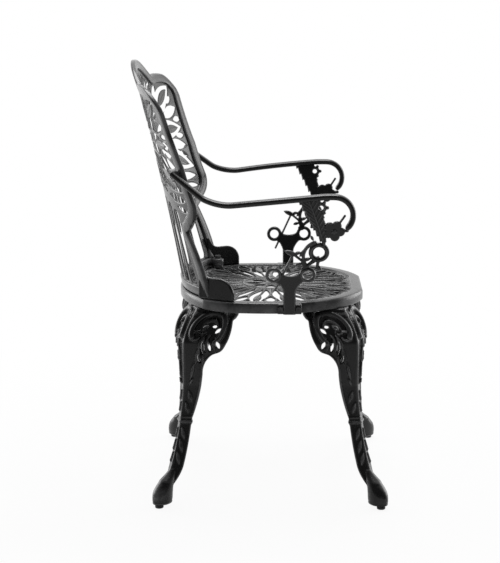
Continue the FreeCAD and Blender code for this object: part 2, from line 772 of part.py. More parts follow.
SCREW_YS = [POST - 18.0, POST + 18.0]
SCREW_Z = SEAT_TOP - 11.0
SCREW_FACE = size("seat_half_width") + size("bracket_thick")
arm_holes = [cylinder("arm_tab_hole", joint_seat(-1) - tab_normal * 5, tab_normal,
                      "sizes.screw_diameter / 2 + sizes.fit", "30"),
             cylinder("arm_tab_spotface", joint_seat(-1) + tab_normal * (size("arm_thick") - 1), tab_normal,
                      "sizes.screw_head_flats / sqrt(3) + 0.5", "20")]
for index, y in enumerate(SCREW_YS, start=1):
    arm_holes.append(cylinder("bracket_hole_%d" % index, Vector(-SCREW_FACE - 5, y, SCREW_Z), X_AXIS,
                              "sizes.screw_diameter / 2 + sizes.fit", "60"))
arm_casting = fuse("arm_casting", [arm_rail, common("arm_support_below", support, below_rail), bracket, tab])
arm_blank = cut("arm_clear_of_seat", arm_casting, seat_block)
right_arm = cut("right_arm", arm_blank, fuse("arm_drillings", arm_holes))
left_arm = doc.addObject("Part::Mirroring", "left_arm")
left_arm.Source = right_arm
left_arm.Normal = X_AXIS
left_arm.Base = Vector()

screw_holes = []
for side, word in ((-1, "right"), (1, "left")):
    for index, y in enumerate(SCREW_YS, start=1):
        start = Vector(side * (size("seat_half_width") + 5), y, SCREW_Z)
        screw_holes.append(cylinder("rim_hole_%s_%d" % (word, index), start, Vector(-side, 0, 0),
                                    "sizes.screw_diameter / 2 + sizes.fit", "28"))
seat_drilled = cut("seat_drilled", seat, fuse("rim_drillings", screw_holes))

# Leg casting, drawn along +X from the middle of the seat: a V of two webs with an outward ridge

HEAD, KNEE, FOOT = size("leg_head_reach"), size("leg_knee_reach"), size("leg_foot_reach")
ANKLE_Z, SHAFT_Z, KNEE_Z = 168.0, 245.0, 335.0
HOOF_TOP = 62.0
FOOT_BASE = size("foot_clearance")
HALF = math.radians(size("leg_half_angle"))


def ridge_line(back):
    """Outer line of the ridge, moved towards the seat by back: head, knee, shaft and ankle."""
    ankle = (FOOT - 28 - back, HOOF_TOP)
    return [
        line((HEAD - back, RIM_BOTTOM), (HEAD - back, RIM_BOTTOM - 8)),
        arc((HEAD - back, RIM_BOTTOM - 8), (HEAD - back + 27, RIM_BOTTOM - 34), (KNEE - back, KNEE_Z)),
        line((KNEE - back, KNEE_Z), (KNEE - back, SHAFT_Z)),
        arc((KNEE - back, SHAFT_Z), (KNEE - back + 18, 138.0), ankle),
        line(ankle, (FOOT - 16 - back, 30.0)),
    ]


def web_section():
    wall = size("leg_wall") / math.sin(HALF)
    return (ridge_line(0.0) + ridge_line(wall)
            + [line((HEAD - wall, RIM_BOTTOM), (HEAD, RIM_BOTTOM)),
               line((FOOT - 16, 30.0), (FOOT - 16 - wall, 30.0))])


def web_edge():
    """Face view of a web, measured from the ridge: broad pierced head, slim shaft, foot."""
    head, knee = size("leg_head_width"), size("leg_knee_width")
    shaft, ankle = size("leg_shaft_width"), size("leg_ankle_width")
    lip = RIM_BOTTOM - 18
    return [
        line((-20, RIM_BOTTOM), (head, RIM_BOTTOM)),
        line((head, RIM_BOTTOM), (head + 2, lip)),
        line((head + 2, lip), (head - 2, lip)),
        arc((head - 2, lip), (knee, KNEE_Z + 24), (knee - 8, KNEE_Z - 8)),
        arc((knee - 8, KNEE_Z - 8), (knee - 17, KNEE_Z - 18), (knee - 30, KNEE_Z - 22)),
        arc((knee - 30, KNEE_Z - 22), (shaft + 5, KNEE_Z - 42), (shaft, KNEE_Z - 66)),
        arc((shaft, KNEE_Z - 66), (shaft - 6, 225.0), (ankle, ANKLE_Z + 8)),
        line((ankle, ANKLE_Z + 8), (ankle + 2.5, ANKLE_Z + 5)),
        line((ankle + 2.5, ANKLE_Z + 5), (ankle + 2.5, ANKLE_Z)),
        line((ankle + 2.5, ANKLE_Z), (ankle, ANKLE_Z - 3)),
        arc((ankle, ANKLE_Z - 3), (ankle + 1.0, 120.0), (ankle + 1.5, HOOF_TOP + 20)),
        arc((ankle + 1.5, HOOF_TOP + 20), (ankle - 2, HOOF_TOP), (ankle - 9, HOOF_TOP - 16)),
        line((ankle - 9, HOOF_TOP - 16), (ankle - 9, 25.0)),
        line((ankle - 9, 25.0), (-20, 25.0)),
        line((-20, 25.0), (-20, RIM_BOTTOM)),
    ]


def web_openings():
    """Slots between the scroll's ribs, low in the head of a web."""
    knee = size("leg_knee_width")
    return (leaf((knee - 24, KNEE_Z + 14), (knee - 38, KNEE_Z - 8), 9.0)
            + leaf((knee - 46, KNEE_Z + 6), (knee - 56, KNEE_Z - 26), 9.0))


def scroll_outline():
    """C-scroll raised on the head of a web, open towards the foot."""
    hub, radius, half = (0, 0), size("scroll_radius"), size("scroll_bead") / 2
    outer, inner = radius + half, radius - half
    first, last = -50.0, 205.0
    last_tip = polar(polar(hub, radius, last), half, last + 90)
    first_tip = polar(polar(hub, radius, first), half, first - 90)
    return [
        centred_arc(hub, outer, first, last),
        arc(polar(hub, outer, last), last_tip, polar(hub, inner, last)),
        centred_arc(hub, inner, last, first),
        arc(polar(hub, inner, first), first_tip, polar(hub, outer, first)),
    ]


def leg_web(name, side):
    along = Vector(-math.cos(HALF), side * math.sin(HALF), 0)
    skin = prism(name + "_skin", web_section(), FRONT_VIEW, Vector(), along, 130.0)
    turn = Rotation(along, Z_AXIS, along.cross(Z_AXIS), "XYZ")
    face = prism(name + "_face", web_edge() + web_openings(), turn, Vector(), X_AXIS, FAR)
    web = common(name, skin, face)
    middle = Vector(HEAD + 22, 0, RIM_BOTTOM - 38) + along * (0.5 * size("leg_head_width"))
    slope = math.atan2(KNEE - HEAD, RIM_BOTTOM - KNEE_Z) * 0.8
    out = Vector(math.sin(HALF), side * math.cos(HALF), 0)
    outward = out * math.cos(slope) + Z_AXIS * math.sin(slope)
    upward = Z_AXIS * math.cos(slope) - out * math.sin(slope)
    lie = Rotation(upward.cross(outward), upward, outward, "XYZ")
    bead = prism(name + "_scroll", scroll_outline(), lie, middle - outward * 5, outward,
                 5 + size("scroll_relief"), "5 + sizes.scroll_relief")
    return [web, bead]


def hoof():
    """Rounded foot, lofted through level ovals from the sole up to the ankle."""
    half = size("hoof_width") / 2
    sole = FOOT_BASE
    ovals = [(0, -9, 22.5, half - 1), (12, -9, 24.0, half), (28, -12, 22.5, half - 0.5),
             (43, -21, 16.5, half - 3.5), (57, -34, 11.0, half - 7.5), (72, -45, 6.5, half - 12)]
    sections = []
    for level, (rise, middle, along, across) in enumerate(ovals, start=1):
        oval = [Part.Ellipse(Vector(), along, across)]
        centre = Vector(FOOT + middle, 0, sole + rise)
        sections.append(sketch("hoof_section_%d" % level, oval, Rotation(), centre))
    foot = doc.addObject("Part::Loft", "leg_hoof")
    foot.Sections = sections
    foot.Solid = True
    foot.Ruled = False
    return foot


def head_plate():
    """Level plate between the webs that takes the bolts."""
    wall, width = size("leg_wall") / math.sin(HALF) / 2, size("leg_head_width") - 6
    side_x, side_y = HEAD - wall - width * math.cos(HALF), width * math.sin(HALF)
    return polygon([(HEAD - wall, 0), (side_x, side_y), (side_x - 4, side_y - 4),
                    (side_x - 4, -side_y + 4), (side_x, -side_y)])


leg_parts = leg_web("leg_web_near", 1) + leg_web("leg_web_far", -1)
leg_parts.append(hoof())
leg_parts.append(prism("leg_head_plate", head_plate(), Rotation(),
                       Vector(0, 0, RIM_BOTTOM - size("leg_head_plate")), Z_AXIS,
                       size("leg_head_plate"), "sizes.leg_head_plate"))
leg_holes = [cylinder("leg_glide_bore", Vector(FOOT, 0, 0), Z_AXIS, "sizes.stud_diameter / 2 + sizes.fit",
                      "sizes.glide_pad_height + sizes.stud_length + 4")]
for side, word in ((-1, "far"), (1, "near")):
    base = Vector(leg_bolt_reach, side * size("leg_bolt_spacing") / 2, RIM_BOTTOM - 30)
    leg_holes.append(cylinder("leg_hole_" + word, base, Z_AXIS, "sizes.bolt_diameter / 2 + sizes.fit", "60"))
under_seat = prism("under_seat", polygon([(0, -FAR), (FAR, -FAR), (FAR, FAR), (0, FAR)]), Rotation(),
                   Vector(), Z_AXIS, RIM_BOTTOM, "sizes.seat_height - sizes.seat_rim_depth")
leg_pattern = cut("leg_pattern", common("leg_below_seat", fuse("leg_casting", leg_parts), under_seat),
                  fuse("leg_drillings", leg_holes))

# Fasteners: each kind is one group of loose solids

def bolt_set(name, places, head_flats, head_height, shank_radius, shank_length):
    """Hexagon bolts; a place is where the head meets what it clamps, and the way the shank points."""
    bolts = []
    for index, (point, axis) in enumerate(places):
        head = hexagon("%s_head_%d" % (name, index), point, -axis, head_flats, head_height)
        shank = cylinder("%s_shank_%d" % (name, index), point, axis, shank_radius, shank_length)
        bolts.append(fuse("%s_%d" % (name, index), [head, shank]))
    return group(name, bolts)


def ring_set(name, places, outer, inner, height):
    """Washers; a place is the face a washer lies on, and the way it builds up."""
    rings = []
    for index, (point, axis) in enumerate(places):
        disc = cylinder("%s_disc_%d" % (name, index), point, axis, outer, height)
        hole = cylinder("%s_bore_%d" % (name, index), point - axis, axis, inner, "%s + 2" % height)
        rings.append(cut("%s_%d" % (name, index), disc, hole))
    return group(name, rings)


def nut_set(name, places, flats, inner, height):
    """Hexagon nuts; a place is the face a nut lies on, and the way it builds up."""
    nuts = []
    for index, (point, axis) in enumerate(places):
        block = hexagon("%s_block_%d" % (name, index), point, axis, flats, height)
        hole = cylinder("%s_bore_%d" % (name, index), point - axis, axis, inner, "%s + 2" % height)
        nuts.append(cut("%s_%d" % (name, index), block, hole))
    return group(name, nuts)


UP, DOWN = Vector(0, 0, 1), Vector(0, 0, -1)
plate_under = RIM_BOTTOM - size("leg_head_plate")
washer = size("washer_thick")
leg_bolts = bolt_set("leg_bolts", [(Vector(x, y, plate_under - washer), UP) for x, y in leg_bolt_points],
                     "sizes.bolt_head_flats", "sizes.bolt_head_height", "sizes.bolt_diameter / 2",
                     "sizes.leg_head_plate + sizes.washer_thick + 14")
leg_washers = ring_set("leg_washers", [(Vector(x, y, plate_under), DOWN) for x, y in leg_bolt_points],
                       "sizes.washer_diameter / 2", "sizes.bolt_diameter / 2 + 0.2", "sizes.washer_thick")
lug_top = SEAT_TOP + size("lug_height")
seat_under = SEAT_TOP - size("seat_plate") - 3
back_bolts = bolt_set("back_bolts", [(Vector(x, y, lug_top + washer), DOWN) for x, y in back_bolt_points],
                      "sizes.bolt_head_flats", "sizes.bolt_head_height", "sizes.bolt_diameter / 2",
                      "sizes.lug_height + sizes.seat_plate + sizes.washer_thick + 11")
back_washers = ring_set("back_washers", [(Vector(x, y, lug_top), UP) for x, y in back_bolt_points],
                        "sizes.washer_diameter / 2", "sizes.bolt_diameter / 2 + 0.2", "sizes.washer_thick")
back_nuts = nut_set("back_nuts", [(Vector(x, y, seat_under), DOWN) for x, y in back_bolt_points],
                    "sizes.bolt_head_flats", "sizes.bolt_diameter / 2 + sizes.fit", "6.5")
arm_foot_screws = bolt_set("arm_foot_screws",
                           [(Vector(side * SCREW_FACE, y, SCREW_Z), Vector(-side, 0, 0))
                            for side in (-1, 1) for y in SCREW_YS],
                           "sizes.screw_head_flats", "sizes.screw_head_height", "sizes.screw_diameter / 2",
                           "sizes.bracket_thick + 16")
rear_bolts = []
for side, word in ((-1, "right"), (1, "left")):
    sunk, out = joint_seat(side) - joint_axis(side) * JOINT_GRIP, joint_axis(side)
    head = cylinder("arm_rear_head_" + word, sunk, -out, "sizes.screw_head_flats / 2",
                    "sizes.screw_head_height")
    shank = cylinder("arm_rear_shank_" + word, sunk, out, "sizes.screw_diameter / 2",
                     "sizes.joint_boss + sizes.back_rim_thick / 2 + sizes.arm_thick + 5")
    rear_bolts.append(fuse("arm_rear_bolt_" + word, [head, shank]))
arm_rear_bolts = group("arm_rear_bolts", rear_bolts)
arm_rear_nuts = nut_set("arm_rear_nuts",
                        [(joint_seat(side) + joint_axis(side) * (size("arm_thick") - 1), joint_axis(side))
                         for side in (-1, 1)],
                        "sizes.screw_head_flats", "sizes.screw_diameter / 2 + sizes.fit", "5")

# Levelling glides: a pad on the floor and a threaded stud in the bore of each foot


def glide_pad(name, point):
    body = doc.addObject("PartDesign::Body", name)
    body.Label = name
    radius = size("glide_diameter") / 2
    height = size("glide_pad_height")
    socket = size("stud_diameter") / 2 + size("fit")
    corners = [(0, 0), (radius - 1, 0), (radius, 1), (radius, height),
               (socket, height), (socket, height - 3), (0, height - 3)]
    profile = body.newObject("Sketcher::SketchObject", name + "_section")
    profile.AttachmentSupport = [(body_plane(body, "XZ_Plane"), "")]
    profile.MapMode = "FlatFace"
    profile.addGeometry(polygon(corners), False)
    turned = body.newObject("PartDesign::Revolution", name + "_turned")
    turned.Profile = profile
    turned.ReferenceAxis = (profile, ["V_Axis"])
    turned.Angle = 360
    body.Placement = Placement(point, Rotation())
    return body


nodes = [seat_drilled, backrest, right_arm, left_arm]
seat.Label = "seat_casting"
seat_drilled.Label = "seat"
doc.recompute()
for word, azimuth in LEG_ANGLES.items():
    leg = doc.addObject("Part::Feature", "leg_" + word)
    leg.Label = word + "_leg"
    leg.Shape = leg_pattern.Shape
    leg.Placement = Placement(Vector(LEG_CENTRE[0], LEG_CENTRE[1], 0), Rotation(Z_AXIS, azimuth))
    foot = leg_point(azimuth, FOOT, 0)
    base = Vector(foot[0], foot[1], 0)
    stud_base = base + Vector(0, 0, size("glide_pad_height") - 3)
    stud = cylinder("glide_stud_" + word, stud_base, Z_AXIS, "sizes.stud_diameter / 2",
                    "sizes.stud_length + 3")
    nodes += [leg, glide_pad("glide_pad_" + word, base), stud]
nodes += [leg_bolts, leg_washers, back_bolts, back_washers, back_nuts, arm_foot_screws, arm_rear_bolts,
          arm_rear_nuts]
doc.recompute()

for item in doc.Objects:
    if "Invalid" in item.State or "Error" in item.State:
        raise RuntimeError("failed object: " + item.Name)
for node in nodes:
    if node.Shape.isNull() or not node.Shape.isValid():
        raise RuntimeError("bad shape: " + node.Label)

whole = FreeCAD.BoundBox()
for node in nodes:
    whole.add(node.Shape.optimalBoundingBox(False, False))
to_origin = Vector(0, -(whole.YMin + whole.YMax) / 2, 0)
for node in nodes:
    node.Placement = Placement(to_origin, Rotation()).multiply(node.Placement)
    node.Shape.exportStep("parts/%s.step" % node.Label)
    print("%-24s solids %2d  volume %9.0f" % (node.Label, len(node.Shape.Solids), node.Shape.Volume))
print("box %.1f x %.1f x %.1f, moved %.2f" % (whole.XLength, whole.YLength, whole.ZLength, to_origin.y))
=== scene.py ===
# %% [markdown]
# # A cast garden armchair
# The real chair is a handful of iron castings bolted together and finished in black satin powder
# coat. Each casting is thin, pierced and carved, so this lesson draws most of them as reliefs: a
# flat drawing says where there is metal, a height says how thick it is there, and a mapping bends
# the drawing onto the seat, the curved back, an arm support or the two webs of a leg.

# %% Load the frame
import math
import bpy
import numpy as np
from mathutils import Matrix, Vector


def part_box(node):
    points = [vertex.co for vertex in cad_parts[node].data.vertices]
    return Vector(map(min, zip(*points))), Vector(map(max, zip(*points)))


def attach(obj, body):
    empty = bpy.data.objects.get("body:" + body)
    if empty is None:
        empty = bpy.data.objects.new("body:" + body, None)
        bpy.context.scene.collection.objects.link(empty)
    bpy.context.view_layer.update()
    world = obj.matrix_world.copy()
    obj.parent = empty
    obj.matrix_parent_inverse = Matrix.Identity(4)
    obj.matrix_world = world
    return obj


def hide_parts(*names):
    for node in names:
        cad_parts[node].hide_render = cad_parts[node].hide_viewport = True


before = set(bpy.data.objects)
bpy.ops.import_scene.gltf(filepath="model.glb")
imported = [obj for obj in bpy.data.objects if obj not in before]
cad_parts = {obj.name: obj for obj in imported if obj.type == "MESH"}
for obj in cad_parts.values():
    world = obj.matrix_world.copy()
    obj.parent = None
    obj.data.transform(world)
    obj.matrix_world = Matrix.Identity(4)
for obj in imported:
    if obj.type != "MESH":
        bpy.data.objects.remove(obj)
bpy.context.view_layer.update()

# %% [markdown]
# All drawings below are in millimetres, because that is how castings are drawn; one factor turns
# them into metres when a mesh is made. The heights and widths are those of the chair: where the
# frame knows a size, it is read from the frame's own boxes.

# %% Main sizes
MM = 0.001


def box_mm(node):
    """Lowest and highest corner of a node of the frame, in millimetres."""
    low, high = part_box(node)
    return np.array(low) / MM, np.array(high) / MM


(_, SEAT_FRONT, SEAT_UNDER), (HALF_SEAT, SEAT_REAR, SEAT_TOP) = box_mm("seat")
BACK_TOP = box_mm("backrest")[1][2]
FRONT_TO_WIDEST = 181.0
WIDE_Y = SEAT_FRONT + FRONT_TO_WIDEST
print("seat %.0f wide, top at %.0f, widest line at y %.1f" % (2 * HALF_SEAT, SEAT_TOP, WIDE_Y))

# %% [markdown]
# A relief starts as a signed distance: negative inside the metal, positive outside, in
# millimetres. The few shapes that ornament needs are a disc, a ring, a bar with round ends, a
# pointed leaf and an arc. Joining two shapes is a minimum, piercing is a maximum, and a smooth
# minimum leaves the fillet that molten iron leaves in a real mould.

# %% Distance drawings


def disc(u, v, centre, radius):
    return np.hypot(u - centre[0], v - centre[1]) - radius


def ring(u, v, centre, radius, width):
    return np.abs(np.hypot(u - centre[0], v - centre[1]) - radius) - width / 2


def bar(u, v, start, end, width, end_width=None):
    """A bar with round ends, which may taper."""
    ax, ay = end[0] - start[0], end[1] - start[1]
    t = np.clip(((u - start[0]) * ax + (v - start[1]) * ay) / (ax * ax + ay * ay), 0, 1)
    half = width / 2 if end_width is None else (width + (end_width - width) * t) / 2
    return np.hypot(u - start[0] - t * ax, v - start[1] - t * ay) - half


def leaf(u, v, start, end, width):
    """A lens with a point at each end."""
    dx, dy = end[0] - start[0], end[1] - start[1]
    length = math.hypot(dx, dy)
    along = ((u - start[0]) * dx + (v - start[1]) * dy) / length - length / 2
    across = np.abs((v - start[1]) * dx - (u - start[0]) * dy) / length
    sagitta = width / 2
    radius = (length * length / 4 + sagitta * sagitta) / (2 * sagitta)
    round_side = np.hypot(along, across + radius - sagitta) - radius
    past = np.abs(along) - length / 2
    beyond = (past > 0) & (across * length / 2 < past * (radius - sagitta))
    return np.where(beyond, np.hypot(past, across), round_side)


def at(centre, radius, degrees):
    """The point at a distance and an angle from a centre."""
    angle = math.radians(degrees)
    return (centre[0] + radius * math.cos(angle), centre[1] + radius * math.sin(angle))


def curl(u, v, centre, radius, width, start, end):
    """Part of a ring between two angles in degrees, with round ends."""
    turn = np.degrees(np.arctan2(v - centre[1], u - centre[0]))
    middle, half = (start + end) / 2, (end - start) / 2
    off = np.abs((turn - middle + 180) % 360 - 180)
    body = np.abs(np.hypot(u - centre[0], v - centre[1]) - radius) - width / 2
    ends = [at(centre, radius, angle) for angle in (start, end)]
    caps = np.minimum(*[np.hypot(u - p[0], v - p[1]) - width / 2 for p in ends])
    return np.where(off <= half, body, caps)


def blend(a, b, soft=2.0):
    """Union with a fillet."""
    h = np.clip(0.5 + 0.5 * (b - a) / soft, 0, 1)
    return b + (a - b) * h - soft * h * (1 - h)


def bead(distance, radius):
    """Height of a half-round bead whose edge lies where the distance is zero."""
    inside = np.clip(radius + distance, 0, radius)
    return np.where(distance < 0, np.sqrt(np.clip(radius ** 2 - inside ** 2, 0, None)), 0.0)


def edge_round(depth, radius):
    """How far a rounded edge lies below the flat, by depth from the border."""
    x = np.clip(radius - depth, 0, radius)
    return radius - np.sqrt(radius ** 2 - x ** 2)


print("2 mm inside a 10 mm disc the distance reads %.0f" % disc(8.0, 0.0, (0, 0), 10.0))

# %% [markdown]
# A relief becomes a mesh on a square grid. Every cell whose middle is inside the metal is kept,
# and the corners along the border are pulled onto the zero line of the drawing, so edges come out
# smooth, not stepped. The front and back of the sheet are then joined by a wall of quads.

# %% Relief mesher


def snap(field, u, v):
    """Moves points onto the border of a drawing, along its slope."""
    step = 0.05
    for _ in range(3):
        value = field(u, v)
        du = (field(u + step, v) - field(u - step, v)) / (2 * step)
        dv = (field(u, v + step) - field(u, v - step)) / (2 * step)
        scale = np.clip(value, -1.5, 1.5) / np.maximum(du * du + dv * dv, 0.3)
        u, v = u - scale * du, v - scale * dv
    return u, v


def relief(field, front, back, low, high, cell, place):
    """Points and faces of a pierced sheet. place turns (u, v, height) into a point in millimetres."""
    nu = int((high[0] - low[0]) / cell) + 2
    nv = int((high[1] - low[1]) / cell) + 2
    u, v = np.meshgrid(low[0] + cell * np.arange(nu), low[1] + cell * np.arange(nv), indexing="ij")
    keep = field(u[:-1, :-1] + cell / 2, v[:-1, :-1] + cell / 2) < 0
    index = np.arange(nu * nv).reshape(nu, nv)
    quads = np.stack([index[:-1, :-1], index[1:, :-1], index[1:, 1:], index[:-1, 1:]], -1)[keep]
    used, quads = np.unique(quads, return_inverse=True)
    quads = quads.reshape(-1, 4)
    u, v = u.ravel()[used], v.ravel()[used]
    edges = np.concatenate([quads[:, [i, (i + 1) % 4]] for i in range(4)])
    count = len(used)
    forward = set((edges[:, 0].astype(np.int64) * count + edges[:, 1]).tolist())
    border = np.array([(a, b) for a, b in edges.tolist() if b * count + a not in forward])
    rim = np.unique(border)
    u[rim], v[rim] = snap(field, u[rim], v[rim])
    depth = np.clip(-field(u, v), 0, None)
    depth[rim] = 0
    top = place(u, v, front(u, v, depth))
    bottom = place(u, v, back(u, v, depth))
    wall = np.stack([border[:, 1], border[:, 0], border[:, 0] + count, border[:, 1] + count], 1)
    faces = np.concatenate([quads, quads[:, ::-1] + count, wall])
    return np.concatenate([top, bottom]), [tuple(face) for face in faces.tolist()]


def solid(name, points, faces):
    """A smooth-shaded object from points in millimetres."""
    mesh = bpy.data.meshes.new(name)
    mesh.from_pydata((np.asarray(points) * MM).tolist(), [], faces)
    mesh.validate()
    mesh.update()
    mesh.polygons.foreach_set("use_smooth", [True] * len(mesh.polygons))
    piece = bpy.data.objects.new(name, mesh)
    bpy.context.collection.objects.link(piece)
    print("%-22s %7d faces" % (name, len(mesh.polygons)))
    return piece


FINE_CELL = 1.25
print("fine castings are drawn on a grid of %.2f mm" % FINE_CELL)

# %% [markdown]
# Rims and rails are sweeps: one closed section is carried along a path, which comes as points with
# a sideways and an upward direction at each. A turned boss, a hoof and a swept rail are all rows
# of points, so one helper makes the faces between the rows. What stands on the chair's left also
# stands on its right, so it is made once and mirrored. A mirror turns the front of a face to its
# back, so the faces are flipped as well.

# %% Rows of points


def grid_faces(rows, wide, round_rows=True, round_wide=True):
    """Faces between neighbouring rows of points, closed round or open in either direction."""
    faces = []
    for i in range(rows if round_rows else rows - 1):
        a, b = i * wide, (i + 1) % rows * wide
        for j in range(wide if round_wide else wide - 1):
            k = (j + 1) % wide
            faces.append((a + j, b + j, b + k, a + k))
    return faces


def capped_faces(rows, wide):
    """The faces of a tube with a flat cap at each end."""
    last = range((rows - 1) * wide, rows * wide)
    return grid_faces(rows, wide, round_rows=False) + [tuple(range(wide)), tuple(last)[::-1]]


def flipped(faces):
    return [face[::-1] for face in faces]


def mirrored(points, faces):
    """The same part on the other side of the chair."""
    return points * [-1, 1, 1], flipped(faces)


def sweep(path, side, up, section, closed):
    """Points and faces of a section, a list of (sideways, up), carried along a path."""
    section = np.asarray(section, float)
    if section.ndim == 2:
        section = np.repeat(section[None], len(path), 0)
    points = path[:, None] + side[:, None] * section[..., :1] + up[:, None] * section[..., 1:2]
    rows, wide = len(path), section.shape[1]
    faces = grid_faces(rows, wide, round_rows=closed)
    if not closed:
        faces += [tuple(range(wide))[::-1], tuple(range((rows - 1) * wide, rows * wide))]
    return points.reshape(-1, 3), faces


def merge(*parts):
    """Joins several (points, faces) into one."""
    points, faces, base = [], [], 0
    for p, f in parts:
        points.append(p)
        faces += [tuple(i + base for i in face) for face in f]
        base += len(p)
    return np.concatenate(points), faces


def arc_points(start, middle, end, count):
    """Points on the circle through three points."""
    (ax, ay), (bx, by), (cx, cy) = start, middle, end
    d = 2 * (ax * (by - cy) + bx * (cy - ay) + cx * (ay - by))
    if abs(d) < 1e-6:
        return [tuple(np.array(start) + (np.array(end) - start) * i / count) for i in range(count)]
    a2, b2, c2 = (x * x + y * y for x, y in (start, middle, end))
    ox = (a2 * (by - cy) + b2 * (cy - ay) + c2 * (ay - by)) / d
    oy = (a2 * (cx - bx) + b2 * (ax - cx) + c2 * (bx - ax)) / d
    first, mid, last = (math.atan2(y - oy, x - ox) for x, y in (start, middle, end))
    turn = (last - first) % (2 * math.pi)
    if (mid - first) % (2 * math.pi) > turn:
        turn -= 2 * math.pi
    radius = math.hypot(ax - ox, ay - oy)
    angles = [first + turn * i / count for i in range(count)]
    return [(ox + radius * math.cos(angle), oy + radius * math.sin(angle)) for angle in angles]


def even(points, spacing, closed=True):
    """The same line with points at an even spacing."""
    p = np.asarray(points, float)
    if closed:
        p = np.concatenate([p, p[:1]])
    run = np.concatenate([[0], np.cumsum(np.linalg.norm(np.diff(p, axis=0), axis=1))])
    count = max(3, int(round(run[-1] / spacing)))
    at_run = np.linspace(0, run[-1], count + 1)
    line = np.stack([np.interp(at_run, run, p[:, i]) for i in range(p.shape[1])], 1)
    return line[:-1] if closed else line


def outward(line):
    """Unit normals of a closed anticlockwise line, pointing out."""
    tangent = np.roll(line, -1, 0) - np.roll(line, 1, 0)
    normal = np.stack([tangent[:, 1], -tangent[:, 0]], 1)
    return normal / np.linalg.norm(normal, axis=1)[:, None]


class Outline:
    """A closed outline seen from a centre, for a quick distance to its border."""

    def __init__(self, line, centre):
        self.centre = centre
        rel = line - np.array(centre)
        angle = np.degrees(np.arctan2(rel[:, 1], rel[:, 0])) % 360
        order = np.argsort(angle)
        self.angle = angle[order]
        self.radius = np.hypot(rel[:, 0], rel[:, 1])[order]
        normal = outward(line)
        facing = (normal * rel).sum(1) / np.hypot(rel[:, 0], rel[:, 1])
        self.facing = np.clip(facing[order], 0.25, 1)

    def reach(self, degrees):
        return np.interp(degrees % 360, self.angle, self.radius, period=360)

    def distance(self, u, v):
        du, dv = u - self.centre[0], v - self.centre[1]
        degrees = np.degrees(np.arctan2(dv, du)) % 360
        slant = np.interp(degrees, self.angle, self.facing, period=360)
        return (np.hypot(du, dv) - self.reach(degrees)) * slant


print("a tube of 4 rows of 6 points has %d faces" % len(capped_faces(4, 6)))


# %% [markdown]
# The ornament that seat and back share is a sunburst: petals open between ribs that run out from
# a rosette, with a small eye between the tips. In each open petal stands a sprig, a thin stem
# with a leaf, as founders add to keep the openings small and the casting stiff.

# %% Sunburst drawing
RING_WIDTH = 11.0
ROSETTE = 54.0
HUB = 15.0
EYE = 10.0
FAR_OFF = 1e3
SPRIG_FROM, EYE_FROM, LEAVES_FROM = 40.0, 35.0, 70.0


def sunburst(centre, count, limit):
    """Drawing of everything inside a border: returns its field and a list of vein lines."""
    pitch = 360.0 / count
    inner = ROSETTE + RING_WIDTH
    petals, corners, eyes, sprigs, veins = [], [], [], [], []
    for index in range(count):
        angle = 90 + pitch * index
        outer = limit(angle)
        middle = (inner + outer) / 2
        length = outer - inner
        width = min(2 * middle * math.sin(math.radians(pitch / 2)) - RING_WIDTH, 0.46 * length)
        petals.append((at(centre, inner, angle), at(centre, outer, angle), width))
        if length > SPRIG_FROM:
            foot, bud = at(centre, inner - 2, angle), at(centre, inner + 0.42 * length, angle)
            tip = at(centre, inner + 0.9 * length, angle)
            sprigs.append((foot, bud, tip, 0.42 * width))
            veins.append((foot, tip))
        between = angle + pitch / 2
        edge = min(limit(between), limit(angle) + 25, limit(angle + pitch) + 25)
        room = 2 * edge * math.sin(math.radians(pitch / 2))
        if edge > inner + LEAVES_FROM:
            foot, tip = at(centre, edge - 0.9 * room, between), at(centre, edge - 3, between)
            corners.append((foot, tip, 0.27 * room))
            for turn in (-0.26 * pitch, 0.26 * pitch):
                foot = at(centre, edge - 0.42 * room, between + turn)
                corners.append((foot, at(centre, edge - 4, between + 1.1 * turn), 0.14 * room))
        elif edge > inner + EYE_FROM:
            eyes.append(at(centre, edge - EYE, between))
        veins.append((at(centre, inner + 6, between), at(centre, edge - 1.1 * room, between)))
    rosette = [(at(centre, HUB + 3, turn), at(centre, ROSETTE, turn), 0.4 * ROSETTE)
               for turn in range(90, 450, 45)]

    def field(u, v):
        holes = np.full(np.shape(u), FAR_OFF)
        for start, end, width in petals + rosette + corners:
            holes = np.minimum(holes, leaf(u, v, start, end, width))
        for point in eyes:
            holes = np.minimum(holes, disc(u, v, point, 0.8 * EYE))
        metal = -holes
        for foot, bud, tip, width in sprigs:
            metal = blend(metal, bar(u, v, foot, bud, 4.2, 3.2), 3.0)
            metal = blend(metal, leaf(u, v, bud, tip, width), 3.0)
        return metal

    return field, veins


def ridge_height(u, v, lines, width, height):
    """Raised lines along the veins of a drawing."""
    total = np.zeros(np.shape(u))
    for start, end in lines:
        total = np.maximum(total, bead(bar(u, v, start, end, width, width * 0.6), width / 2))
    return total * height / (width / 2)


def hub_height(u, v, centre, height):
    """The low dome in the middle of a rosette."""
    return height * np.clip(1 - np.hypot(u - centre[0], v - centre[1]) ** 2 / HUB ** 2, 0, None)


print("rosette of %.0f mm in a ring %.0f mm wide" % (2 * ROSETTE, RING_WIDTH))

# %% [markdown]
# The seat's plan has a flat front, round front corners and an arched rear. A subdivided plane could
# give it, but arcs keep the lengths that were measured, so the outline is drawn with arcs, made
# even, and mirrored.

# %% Seat outline
FRONT_FLAT = 75.0
CORNER_RADIUS = 198.0
REAR_RADIUS = 338.0
LINE_STEP = 2.0


def drop(radius, x):
    """How far an arch of a radius has fallen at a distance from its top."""
    return radius - math.sqrt(radius ** 2 - x ** 2)


